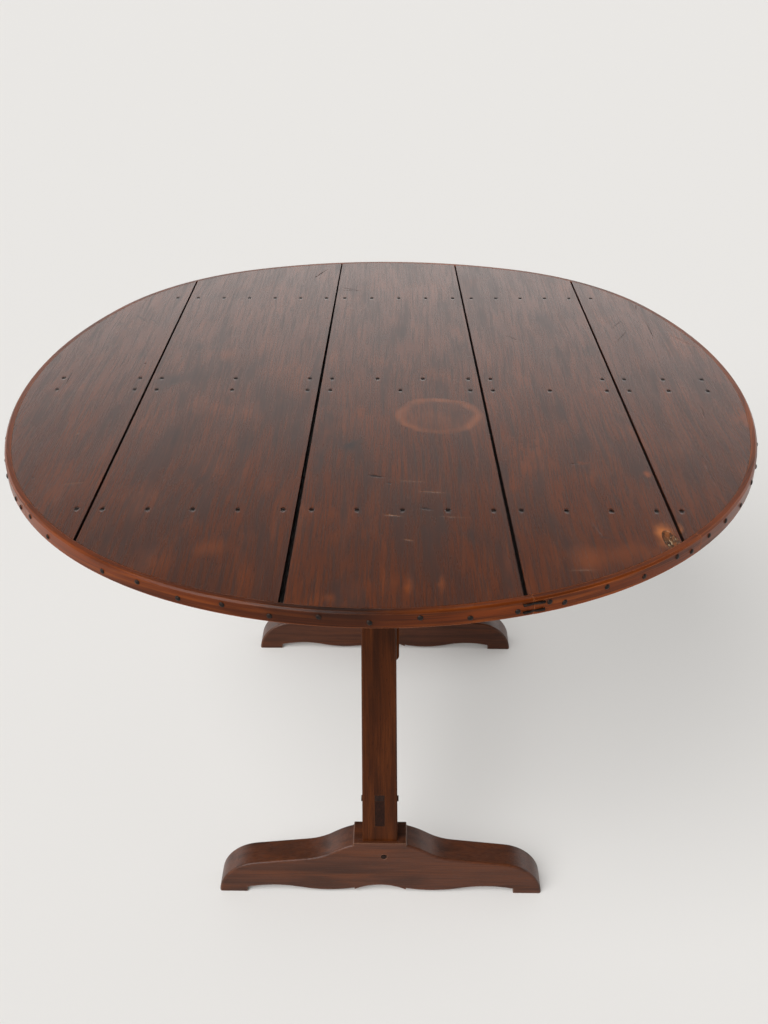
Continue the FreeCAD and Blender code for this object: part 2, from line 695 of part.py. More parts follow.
def head_tenon(side, fit):
    """The post's upper tenon, right through the beam, or its mortise."""
    half_width = POST_TENON_WIDTH / 2 + fit
    half_thick = POST_TENON_THICKNESS / 2 + fit
    y = side * POST_PLACE
    return block((-half_width, half_width), (y - half_thick, y + half_thick), (BEAM_BOTTOM, BEAM_TOP))


def foot_peg(side, fit):
    """The peg through the foot and the post's tenon, flush with the foot's faces."""
    z = FOOT_HEIGHT - FOOT_PEG_DROP
    past = PAST if fit else 0
    low = side * POST_PLACE - FOOT_THICKNESS / 2 - past
    high = side * POST_PLACE + FOOT_THICKNESS / 2 + past
    return peg(PEG_SIZE + 2 * fit, vec(FOOT_PEG_PLACE, low, z), vec(FOOT_PEG_PLACE, high, z))


def stretcher_peg(side, fit):
    """The peg across the post and the stretcher's tenon, a little proud on both sides."""
    z = STRETCHER_MIDDLE + STRETCHER_PEG_RISE
    reach = POST_WIDTH_FOOT / 2 + PEG_STAND
    y = side * POST_PLACE
    return peg(PEG_SIZE + 2 * fit, vec(-reach, y, z), vec(reach, y, z))


def stretcher_tenon(side, fit):
    """A through tenon of the stretcher, or its mortise."""
    half_thick = STRETCHER_TENON_THICKNESS / 2 + fit
    low = STRETCHER_FOOT + STRETCHER_SHOULDER
    past = PAST if fit else 0
    places = sorted((side * (POST_INNER - past), side * (POST_OUTER + past)))
    return block((-half_thick, half_thick), places, (low - fit, low + STRETCHER_TENON_HEIGHT))


def tenon_wedge(side):
    """The key wedge driven in over the tenon, from the outer face of the post."""
    seat = STRETCHER_FOOT + STRETCHER_SHOULDER + STRETCHER_TENON_HEIGHT
    x = -STRETCHER_TENON_THICKNESS / 2
    outline = [
        vec(x, side * POST_INNER, seat),
        vec(x, side * POST_OUTER, seat),
        vec(x, side * POST_OUTER, seat + WEDGE_HEIGHT),
        vec(x, side * POST_INNER, seat + WEDGE_HEIGHT - WEDGE_TAPER),
    ]
    return prism(outline, vec(STRETCHER_TENON_THICKNESS, 0, 0))


def head_wedge(side):
    """The wedge that spreads the post's upper tenon in the beam."""
    y = side * POST_PLACE - POST_TENON_THICKNESS / 2
    outline = [
        vec(-HEAD_WEDGE_WIDTH / 2, y, BEAM_TOP),
        vec(-HEAD_WEDGE_TIP / 2, y, BEAM_TOP - HEAD_WEDGE_DEPTH),
        vec(HEAD_WEDGE_TIP / 2, y, BEAM_TOP - HEAD_WEDGE_DEPTH),
        vec(HEAD_WEDGE_WIDTH / 2, y, BEAM_TOP),
    ]
    return prism(outline, vec(0, POST_TENON_THICKNESS, 0))


def post(side):
    """A post that narrows upwards, with worn arrises, tenoned into foot and beam."""
    front = side * POST_PLACE - POST_DEPTH / 2
    half_foot = POST_WIDTH_FOOT / 2
    half_head = POST_WIDTH_HEAD / 2
    outline = [
        vec(-half_foot, front, FOOT_HEIGHT),
        vec(half_foot, front, FOOT_HEIGHT),
        vec(half_head, front, BEAM_BOTTOM),
        vec(-half_head, front, BEAM_BOTTOM),
    ]
    shaft = prism(outline, vec(0, POST_DEPTH, 0))
    arrises = [edge for edge in shaft.Edges if edge.BoundBox.ZLength > TOUCH]
    shaft = shaft.makeChamfer(POST_ARRIS, arrises)
    solid = shaft.fuse(post_tenon(side, 0)).fuse(head_tenon(side, 0)).removeSplitter()
    for opening in (
        foot_peg(side, JOINT_FIT),
        stretcher_tenon(side, JOINT_FIT),
        tenon_wedge(side),
        stretcher_peg(side, JOINT_FIT),
        head_wedge(side),
    ):
        solid = solid.cut(opening)
    return solid


def stretcher():
    """The low rail between the posts, with through tenons and a bore for the wing's pin."""
    half_thick = STRETCHER_THICKNESS / 2
    rail = block((-half_thick, half_thick), (-POST_INNER, POST_INNER), (STRETCHER_FOOT, STRETCHER_TOP))
    arrises = [edge for edge in rail.Edges if edge.BoundBox.YLength > TOUCH]
    rail = rail.makeChamfer(STRETCHER_ARRIS, arrises)
    for side in (-1, 1):
        rail = rail.fuse(stretcher_tenon(side, 0))
    rail = rail.removeSplitter()
    for side in (-1, 1):
        rail = rail.cut(stretcher_peg(side, JOINT_FIT))
    return rail.cut(wing_bore(STRETCHER_TOP + PAST, WING_FOOT - WING_PIN_LENGTH - WING_FOOT_GAP))


def wing_bore(start, end):
    """An upright hole for one of the wing's pins."""
    return cylinder(WING_PIN_RADIUS + PIVOT_PLAY, vec(0, 0, start), vec(0, 0, end))


def head_beam():
    """The flat beam over the posts, with the round nose that the top turns about."""
    half = BEAM_WIDTH / 2
    slant = BEAM_NOSE_RADIUS * math.sqrt(0.5)
    y = -BEAM_END
    edges = [
        line(vec(-half, y, BEAM_TOP), vec(-half, y, BEAM_BOTTOM + BEAM_CHAMFER)),
        line(vec(-half, y, BEAM_BOTTOM + BEAM_CHAMFER), vec(-half + BEAM_CHAMFER, y, BEAM_BOTTOM)),
        line(vec(-half + BEAM_CHAMFER, y, BEAM_BOTTOM), vec(half - BEAM_CHAMFER, y, BEAM_BOTTOM)),
        line(vec(half - BEAM_CHAMFER, y, BEAM_BOTTOM), vec(half, y, BEAM_BOTTOM + BEAM_CHAMFER)),
        line(vec(half, y, BEAM_BOTTOM + BEAM_CHAMFER), vec(half, y, PIVOT_Z)),
        arc(vec(half, y, PIVOT_Z), vec(PIVOT_X + slant, y, PIVOT_Z + slant), vec(PIVOT_X, y, BEAM_TOP)),
        line(vec(PIVOT_X, y, BEAM_TOP), vec(-half, y, BEAM_TOP)),
    ]
    solid = profile(edges, vec(0, 2 * BEAM_END, 0))
    for side in (-1, 1):
        solid = solid.cut(head_tenon(side, JOINT_FIT))
        solid = solid.cut(pivot_bore(side, BEAM_END + PAST, BEAM_END - PIVOT_REACH - PIVOT_PLAY))
    return solid.cut(wing_bore(BEAM_BOTTOM - PAST, WING_HEAD + WING_PIN_LENGTH + WING_HEAD_GAP))


def wing_levels():
    """Lower and upper level of the wing's two arms."""
    low = WING_FOOT + WING_LOWER_ARM_RISE
    return (low, low + WING_LOWER_ARM_HEIGHT), (WING_HEAD - WING_ARM_HEIGHT, WING_HEAD)


def wing_tenon(level, start, end, fit):
    """A level tenon of one of the wing's arms between two places, or its mortise."""
    half = WING_TENON_THICKNESS / 2 + fit
    low = level[0] + WING_TENON_SHOULDER - fit
    high = level[1] - WING_TENON_SHOULDER + fit
    return block(sorted((start, end)), (-half, half), (low, high))


def end_stile_places():
    """Outer and inner side of the wing's end stile."""
    outer = -WING_REACH + WING_END_STILE_SETBACK
    return outer, outer + WING_END_STILE_WIDTH


def end_stile_tenon(fit):
    """The end stile's tenon up into the upper arm, or its mortise."""
    outer, inner = end_stile_places()
    half = WING_TENON_THICKNESS / 2 + fit
    low = wing_levels()[1][0]
    places = (outer + WING_TENON_SHOULDER - fit, inner - WING_TENON_SHOULDER + fit)
    return block(places, (-half, half), (low, low + WING_TENON_LENGTH + fit))


def wing_pegs(fit):
    """The four pegs of the wing's joints, along its thickness."""
    lower, upper = wing_levels()
    outer, inner = end_stile_places()
    stile = -WING_STILE_WIDTH / 2 + WING_TENON_LENGTH / 2
    end = inner - WING_TENON_LENGTH / 2
    half = WING_ARM_THICKNESS / 2 + (PAST if fit else 0)
    deep = WING_STILE_THICKNESS / 2 + (PAST if fit else 0)
    spots = (
        (stile, (upper[0] + upper[1]) / 2, deep),
        (stile, (lower[0] + lower[1]) / 2, deep),
        (end, (lower[0] + lower[1]) / 2, half),
        ((outer + inner) / 2, upper[0] + WING_TENON_LENGTH / 2, half),
    )
    return [peg(WING_PEG_SIZE + 2 * fit, vec(x, -run, z), vec(x, run, z)) for x, z, run in spots]


def cut_all(solid, tools):
    return solid.cut(Part.makeCompound(tools))


def wing_board(x, z, thickness, corners):
    """A board of the wing between two places and levels; corners round its lower left and right."""
    y = -thickness / 2
    solid = block(x, (y, -y), z)
    for place, radius, inside in ((x[0], corners[0], 1), (x[1], corners[1], -1)):
        if radius:
            centre = vec(place + inside * radius, y, z[0] + radius)
            waste = block(sorted((place, centre.x)), (y, -y), (z[0], centre.z))
            solid = solid.cut(waste.cut(cylinder(radius, centre, centre + vec(0, thickness, 0))))
    return solid


def wing_pivot_stile():
    """The wing's inner stile, turned to a round pin at its foot and head."""
    half = WING_STILE_WIDTH / 2
    round_corners = (WING_STILE_ROUND, WING_STILE_ROUND)
    board = wing_board((-half, half), (WING_FOOT, WING_HEAD), WING_STILE_THICKNESS, round_corners)
    pin = vec(0, 0, WING_PIN_LENGTH)
    board = board.fuse(cylinder(WING_PIN_RADIUS, vec(0, 0, WING_FOOT), vec(0, 0, WING_FOOT) - pin))
    board = board.fuse(cylinder(WING_PIN_RADIUS, vec(0, 0, WING_HEAD), vec(0, 0, WING_HEAD) + pin))
    lower, upper = wing_levels()
    inside = -half + WING_TENON_LENGTH + JOINT_FIT
    mortises = [wing_tenon(level, -half - PAST, inside, JOINT_FIT) for level in (lower, upper)]
    return cut_all(board.removeSplitter(), mortises + wing_pegs(JOINT_FIT))


def wing_upper_arm():
    """The arm that carries the top, rounded under its outer end."""
    upper = wing_levels()[1]
    root = -WING_STILE_WIDTH / 2
    arm = wing_board((-WING_REACH, root), upper, WING_ARM_THICKNESS, (WING_ARM_NOSE, 0))
    arm = arm.fuse(wing_tenon(upper, root, root + WING_TENON_LENGTH, 0)).removeSplitter()
    return cut_all(arm, [end_stile_tenon(JOINT_FIT)] + wing_pegs(JOINT_FIT))


def wing_lower_arm():
    """The tie between the wing's two stiles."""
    lower = wing_levels()[0]
    root = -WING_STILE_WIDTH / 2
    inner = end_stile_places()[1]
    arm = wing_board((inner, root), lower, WING_ARM_THICKNESS, (0, 0))
    arm = arm.fuse(wing_tenon(lower, root, root + WING_TENON_LENGTH, 0))
    arm = arm.fuse(wing_tenon(lower, inner, inner - WING_TENON_LENGTH, 0)).removeSplitter()
    return cut_all(arm, wing_pegs(JOINT_FIT))


def wing_end_stile():
    """The wing's outer stile, hung from the upper arm, rounded at its foot."""
    lower, upper = wing_levels()
    outer, inner = end_stile_places()
    level = (lower[0] - WING_END_STILE_DROP, upper[0])
    round_corners = (WING_STILE_ROUND, WING_STILE_ROUND)
    stile = wing_board((outer, inner), level, WING_ARM_THICKNESS, round_corners)
    stile = stile.fuse(end_stile_tenon(0)).removeSplitter()
    mortise = wing_tenon(lower, inner + PAST, inner - WING_TENON_LENGTH - JOINT_FIT, JOINT_FIT)
    return cut_all(stile, [mortise] + wing_pegs(JOINT_FIT))


def nailed_top():
    """Planks, hoop, battens and rest, bored for their nails, with the nails themselves."""
    nails = nail_rows()
    spots = [vec(x, y, TABLE_HEIGHT) for _, x, y in nails]
    holes = [placed(plank_nail_hole(NAIL_LENGTH), spot, UP) for spot in spots]
    rim_nails = hoop_nails()
    staples = hoop_staples()
    loose_nails, rest_holes = rest_nails()
    pieces = {}
    for plank, board in enumerate(planks()):
        own = [tool for tool, spot in zip(holes, nails) if spot[0] == plank]
        pieces[PLANK_NAMES[plank]] = cut_all(board, own + rim_nails + staples)
    for name, piece in zip(("hoop_front", "hoop_right", "hoop_back"), hoop_strips()):
        pieces[name] = cut_all(piece, rim_nails + staples)
    pieces["front_bearer"] = cut_all(bearer(-1), holes)
    pieces["rear_bearer"] = cut_all(bearer(1), holes)
    pieces["middle_batten"] = cut_all(middle_batten(), holes + rest_holes)
    pieces["wing_rest"] = cut_all(wing_rest(), rest_holes)
    pieces["plank_nails"] = Part.makeCompound([placed(plank_nail(NAIL_LENGTH), spot, UP) for spot in spots])
    pieces["hoop_nails"] = Part.makeCompound(rim_nails)
    pieces["hoop_staples"] = Part.makeCompound(staples)
    pieces["rest_nails"] = Part.makeCompound(loose_nails)
    pieces["front_pivot_pin"] = pivot_pin(-1)
    pieces["rear_pivot_pin"] = pivot_pin(1)
    return pieces


def trestle():
    """Feet, posts, stretcher and beam, with their pegs and wedges."""
    sides = (-1, 1)
    wedges = [tenon_wedge(side).cut(stretcher_peg(side, JOINT_FIT)) for side in sides]
    return {
        "front_foot": foot(-1),
        "rear_foot": foot(1),
        "front_post": post(-1),
        "rear_post": post(1),
        "stretcher": stretcher(),
        "head_beam": head_beam(),
        "foot_pegs": Part.makeCompound([foot_peg(side, 0) for side in sides]),
        "stretcher_pegs": Part.makeCompound([stretcher_peg(side, 0) for side in sides]),
        "tenon_wedges": Part.makeCompound(wedges),
        "head_wedges": Part.makeCompound([head_wedge(side) for side in sides]),
    }


def wing():
    """The swinging wing, opened to the left."""
    return {
        "wing_pivot_stile": wing_pivot_stile(),
        "wing_upper_arm": wing_upper_arm(),
        "wing_lower_arm": wing_lower_arm(),
        "wing_end_stile": wing_end_stile(),
        "wing_pegs": Part.makeCompound(wing_pegs(0)),
    }


os.makedirs("parts", exist_ok=True)
for name, shape in {**nailed_top(), **trestle(), **wing()}.items():
    shape.exportStep("parts/" + name + ".step")
    print(name, len(shape.Solids), "solids", round(shape.Volume / 1000, 1), "cm3", shape.isValid())
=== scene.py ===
"""Winemaker table: eased edges, forged nail heads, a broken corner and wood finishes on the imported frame."""

import logging
import math
import random
from collections.abc import Iterator, Sequence
from contextlib import contextmanager
from dataclasses import dataclass, field, replace
from enum import Enum

import bpy
from bpy.types import Material, NodeSocket, NodeTree, Object
from mathutils import Matrix, Quaternion, Vector


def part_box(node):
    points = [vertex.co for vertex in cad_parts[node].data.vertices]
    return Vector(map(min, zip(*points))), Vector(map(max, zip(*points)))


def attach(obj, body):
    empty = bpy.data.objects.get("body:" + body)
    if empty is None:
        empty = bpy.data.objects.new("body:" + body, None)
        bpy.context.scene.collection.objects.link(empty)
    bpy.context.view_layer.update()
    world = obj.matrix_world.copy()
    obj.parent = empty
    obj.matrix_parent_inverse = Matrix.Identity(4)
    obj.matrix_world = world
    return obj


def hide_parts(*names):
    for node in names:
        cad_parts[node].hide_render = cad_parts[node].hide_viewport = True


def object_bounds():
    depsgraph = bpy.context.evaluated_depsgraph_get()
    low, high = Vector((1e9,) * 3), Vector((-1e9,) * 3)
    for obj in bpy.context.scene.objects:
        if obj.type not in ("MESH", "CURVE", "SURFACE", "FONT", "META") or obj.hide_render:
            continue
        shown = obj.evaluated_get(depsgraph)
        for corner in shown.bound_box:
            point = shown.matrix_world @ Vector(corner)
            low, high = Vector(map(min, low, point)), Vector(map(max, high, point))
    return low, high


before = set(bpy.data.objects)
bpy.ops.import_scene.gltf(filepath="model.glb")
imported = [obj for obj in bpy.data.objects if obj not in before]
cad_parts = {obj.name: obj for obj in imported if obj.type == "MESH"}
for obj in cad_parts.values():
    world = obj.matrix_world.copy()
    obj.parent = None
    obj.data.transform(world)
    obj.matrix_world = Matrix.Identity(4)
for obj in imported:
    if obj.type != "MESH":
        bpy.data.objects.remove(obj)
CAD_BOX: tuple[Vector, Vector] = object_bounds()

LOG = logging.getLogger("winemaker_table")
MM = 0.001
Colour = tuple[float, float, float, float]

# Marks: their depth below the top, mm, enough to run down the hoop's face; noise levels between which they
# go from their faintest share to their full one; and strengths of a ring at shares of its reach.
MARK_DEPTH = 80.0
PATCHES = (0.35, 0.6)
FAINTEST = 0.25
RING_LEVELS = ((0.0, 0.3), (0.7, 0.15), (0.86, 0.8), (0.93, 0.6), (1.0, 0.0))
# Angle of the joint in the hoop that hides the seam of the grain round it, degrees.
RIM_SEAM = 218.0
# Grain: how far each layer's noise lies from the last one's, in cells of the noise; slow waves per metre;
# and how much further a shift moves a pattern along than across.
LAYER_STEP = (5.3, 2.9, 7.7)
WAVES = 3.5
SHIFT_ALONG = 1.7
# Dents round nails: strays of their outline per metre, how they are drawn out along Y, the share of dirt
# at their floor, and their depth, mm.
PIT_RAGGED = 220.0
PIT_DRAWN = Vector((1.0, 0.6, 1.0))
PIT_SHARE = 0.9
PIT_DEPTH = 0.25
# Edges paler with wear and, on some finishes, a painted highlight: how well the rounded normal agrees with
# the face's where they start and where they are full, and their share.
EDGE_TURN = (0.985, 0.8)
EDGE_SHARE = 0.7
# Dirt in seams: depths below the top where it starts and is full, mm, its share, and how dull it is.
SEAM_DEPTH = (1.0, 3.0)
SEAM_SHARE = 0.92
SEAM_DULL = 0.4
# Unfinished underside: the skin that counts as underside, mm, and its roughness.
BARE_SKIN = 0.5
BARE_ROUGH = 0.75
# Wood as a dielectric, and how squarely a face crosses the grain where it is end grain.
WOOD_IOR = 1.5
END_FACING = 0.9
# Joining a CAD node's loose triangles: gap closed, mm, and angle taken as flat, degrees.
WELD = 0.005
FLAT = 0.2
# Edges of hammered iron under these angles are smooth, degrees, and seeds of the hammering and splinters.
HEAD_SMOOTH, STAPLE_SMOOTH = 50.0, 70.0
HEAD_SEED, BRUISE_SEED, SPLINTER_SEED = 7, 5, 3


class Grain(Enum):
    """Which way the grain of a piece runs: the turn that brings it to a pattern's own Y axis."""

    ALONG_X = (0.0, 0.0, math.pi / 2)
    ALONG_Y = (0.0, 0.0, 0.0)
    ALONG_Z = (-math.pi / 2, 0.0, 0.0)
    ROUND_RIM = (0.0, 0.0, math.radians(180.0 - RIM_SEAM))


@dataclass(frozen=True)
class MarkLook:
    """How one kind of mark shows.

    Args:
        colour: its colour.
        sink: how far it is sunk, mm.
        core: share of its reach where it shows in full.
        stray: how far its outline strays, as a share of its smaller half size.
        dull: how much rougher it is than the wood round it.
        ragged: how many times its outline strays in its smaller half size.
    """

    colour: str
    sink: float
    core: float
    stray: float
    dull: float = 0.0
    ragged: float = 0.4


class MarkKind(Enum):
    """What left a mark in the top: drying, smoke, rubbing, breaking, a blade or a hot pan; one kind is only a
    darker patch.
    """

    CRACK = MarkLook("#0E0705", 0.25, 0.45, 1.1, 0.55)
    SMUDGE = MarkLook("#170E0B", 0.0, 0.0, 0.9, 0.07)
    # A darker patch, used only across the front of the hoop.
    GREASE = MarkLook("#220D04", 0.0, 0.3, 0.5)
    RUB = MarkLook("#8C4518", 0.0, 0.0, 0.9)
    WORN = MarkLook("#B0642C", 0.0, 0.1, 0.7)
    SCRATCH = MarkLook("#8A6044", 0.12, 0.2, 0.8)
    RING = MarkLook("#9A5630", 0.0, 0.0, 0.16, 0.0, 1.5)


def linear(hex_colour: str) -> Colour:
    """Turns an sRGB hex colour into linear RGBA.

    Args:
        hex_colour: six hex digits after a hash sign.

    Returns:
        The linear colour with full alpha.
    """
    parts = [int(hex_colour[i:i + 2], 16) / 255 for i in (1, 3, 5)]
    red, green, blue = [p / 12.92 if p <= 0.04045 else ((p + 0.055) / 1.055) ** 2.4 for p in parts]
    return red, green, blue, 1.0


def add_node(
    tree: NodeTree,
    kind: str,
    inputs: dict[str | int, object] | Sequence[object] = (),
    out: str | int = 0,
    stops: Sequence[tuple[float, Colour]] = (),
    **settings: object,
) -> NodeSocket | None:
    """Adds a shader node with its settings, values and links.

    Args:
        tree: node tree to add to.
        kind: node type without its ShaderNode prefix.
        inputs: a value, or a socket to link from, for each input, in order or by name or number.
        out: the output to hand back, by name or number.
        stops: places and colours of a colour ramp.
        settings: attributes of the node.

    Returns:
        The output, or nothing if the node has none.
    """
    node = tree.nodes.new("ShaderNode" + kind)
    for name, value in settings.items():
        setattr(node, name, value)
    for key, value in inputs.items() if isinstance(inputs, dict) else enumerate(inputs):
        if isinstance(value, NodeSocket):
            tree.links.new(value, node.inputs[key])
        else:
            node.inputs[key].default_value = value
    if stops:
        elements = node.color_ramp.elements
        while len(elements) < len(stops):
            elements.new(1.0)
        for element, (place, colour) in zip(elements, stops):
            element.position = place
            element.color = colour
    return node.outputs[out] if node.outputs else None


def new_material(name: str) -> tuple[Material, NodeTree]:
    """Makes an empty node material.

    Args:
        name: the finish it shows.

    Returns:
        The material and its empty node tree.
    """
    material = bpy.data.materials.new(name)
    material.use_nodes = True
    material.node_tree.nodes.clear()
    return material, material.node_tree


def object_height(tree: NodeTree) -> NodeSocket:
    """Adds the height of a point in its piece's own frame, metres."""
    return add_node(tree, "SeparateXYZ", (add_node(tree, "TexCoord", out="Object"),), "Z")


def ragged_place(
    tree: NodeTree, scale: float, detail: float, stray: float
) -> tuple[NodeSocket, NodeSocket]:
    """Adds object coordinates that stray to and fro across the top, for ragged outlines.

    Args:
        tree: the material's tree.
        scale: strays per metre.
        detail: octaves of finer noise.
        stray: how far they stray from end to end, metres.

    Returns:
        The strayed coordinates, metres, and the noise that goes with them.
    """
    place = add_node(tree, "TexCoord", out="Object")
    noise = add_node(tree, "TexNoise", {"Vector": place, "Scale": scale, "Detail": detail})
    middled = add_node(
        tree, "VectorMath", (noise.node.outputs["Color"], (0.5, 0.5, 0.5)), operation="SUBTRACT"
    )
    strayed = add_node(
        tree, "VectorMath", (middled, (stray, stray, 0.0), place), operation="MULTIPLY_ADD"
    )
    return strayed, noise


@dataclass
class Surface:
    """A surface that is built up coat by coat; each part is a value or the socket that gives it.

    Args:
        tree: the material's tree.
        colour: its colour.
        rough: its roughness.
        relief: its height, mm.
    """

    tree: NodeTree
    colour: Colour | NodeSocket
    rough: float | NodeSocket
    relief: float | NodeSocket = 0.0

    def coat(self, share: NodeSocket, colour: str, sink: float = 0.0, dull: float = 0.0) -> None:
        """Lays a coat over it.

        Args:
            share: how much of the coat shows.
            colour: its colour.
            sink: how far it is sunk, mm.
            dull: how much rougher it is.
        """
        over = {0: share, 6: self.colour, 7: linear(colour)}
        self.colour = add_node(self.tree, "Mix", over, 2, data_type="RGBA")
        if sink:
            sunk = (share, -sink, self.relief)
            self.relief = add_node(self.tree, "Math", sunk, operation="MULTIPLY_ADD")
        if dull:
            dulled = (share, dull, self.rough)
            self.rough = add_node(self.tree, "Math", dulled, operation="MULTIPLY_ADD")


@dataclass(frozen=True)
class Mark:
    """One oval mark on the top; sizes in mm.

    Args:
        kind: what left it.
        start: one end.
        end: the other end.
        width: its width.
        depth: how strongly it shows, from 0 to 1.
    """

    kind: MarkKind
    start: tuple[float, float]
    end: tuple[float, float]
    width: float
    depth: float = 1.0

    def share(self, tree: NodeTree, top: float) -> NodeSocket:
        """Adds the share of the mark's colour that shows, with a ragged and patchy outline.

        Args:
            tree: the material's tree.
            top: height of the face that it is on, metres.

        Returns:
            The share, from 0 to 1.
        """
        look = self.kind.value
        (x0, y0), (x1, y1) = self.start, self.end
        half = (self.width / 2 * MM, math.hypot(x1 - x0, y1 - y0) / 2 * MM)
        spread = min(half)
        strayed, noise = ragged_place(tree, look.ragged / spread, 3.0, 2 * look.stray * spread)
        local = add_node(
            tree,
            "Mapping",
            {
                "Vector": strayed,
                "Location": ((x0 + x1) / 2 * MM, (y0 + y1) / 2 * MM, top),
                "Rotation": (0.0, 0.0, math.atan2(x0 - x1, y1 - y0)),
                "Scale": (*half, MARK_DEPTH * MM),
            },
            vector_type="TEXTURE",
        )
        away = add_node(tree, "VectorMath", (local,), "Value", operation="LENGTH")
        patchy = add_node(tree, "MapRange", (noise, *PATCHES, FAINTEST * self.depth, self.depth))
        if self.kind is MarkKind.RING:
            stops = [(reach, (level, level, level, 1.0)) for reach, level in RING_LEVELS]
            shown = add_node(tree, "ValToRGB", (away,), stops=stops)
        else:
            shown = add_node(
                tree, "MapRange", (away, look.core, 1.0, 1.0, 0.0), interpolation_type="SMOOTHSTEP"
            )
        return add_node(tree, "Math", (shown, patchy), operation="MULTIPLY")


@dataclass(frozen=True)
class Layer:
    """Streaks, lines, pores or patches of one colour, drawn out along the grain; sizes in mm.

    Args:
        colour: their colour.
        width: across the grain.
        length: along the grain.
        share: how much of the colour shows at the strongest places.
        start: noise level where they begin to show.
        full: noise level where they show in full.
        detail: octaves of finer noise at their edges.
        bend: how far they swirl.
        sink: how far they are sunk.
        dull: how much rougher they are.
    """

    colour: str
    width: float
    length: float
    share: float
    start: float = 0.42
    full: float = 0.68
    detail: float = 3.0
    bend: float = 0.0
    sink: float = 0.0
    dull: float = 0.0

    def reach(self, tree: NodeTree, place: NodeSocket, number: int) -> NodeSocket:
        """Adds the share of the layer's colour that shows.

        Args:
            tree: the material's tree.
            place: coordinates with the grain along Y, metres.
            number: the layer's number, which moves its noise away from that of the others.

        Returns:
            The share, from 0 to the layer's own.
        """
        across = 1 / (self.width * MM)
        drawn = add_node(
            tree,
            "Mapping",
            {
                "Vector": place,
                "Location": tuple(step * number for step in LAYER_STEP),
                "Scale": (across, 1 / (self.length * MM), across),
            },
        )
        noise = add_node(
            tree,
            "TexNoise",
            {"Vector": drawn, "Scale": 1.0, "Detail": self.detail, "Distortion": self.bend},
        )
        levels = (noise, self.start, self.full, 0.0, self.share)
        return add_node(tree, "MapRange", levels, interpolation_type="SMOOTHSTEP")


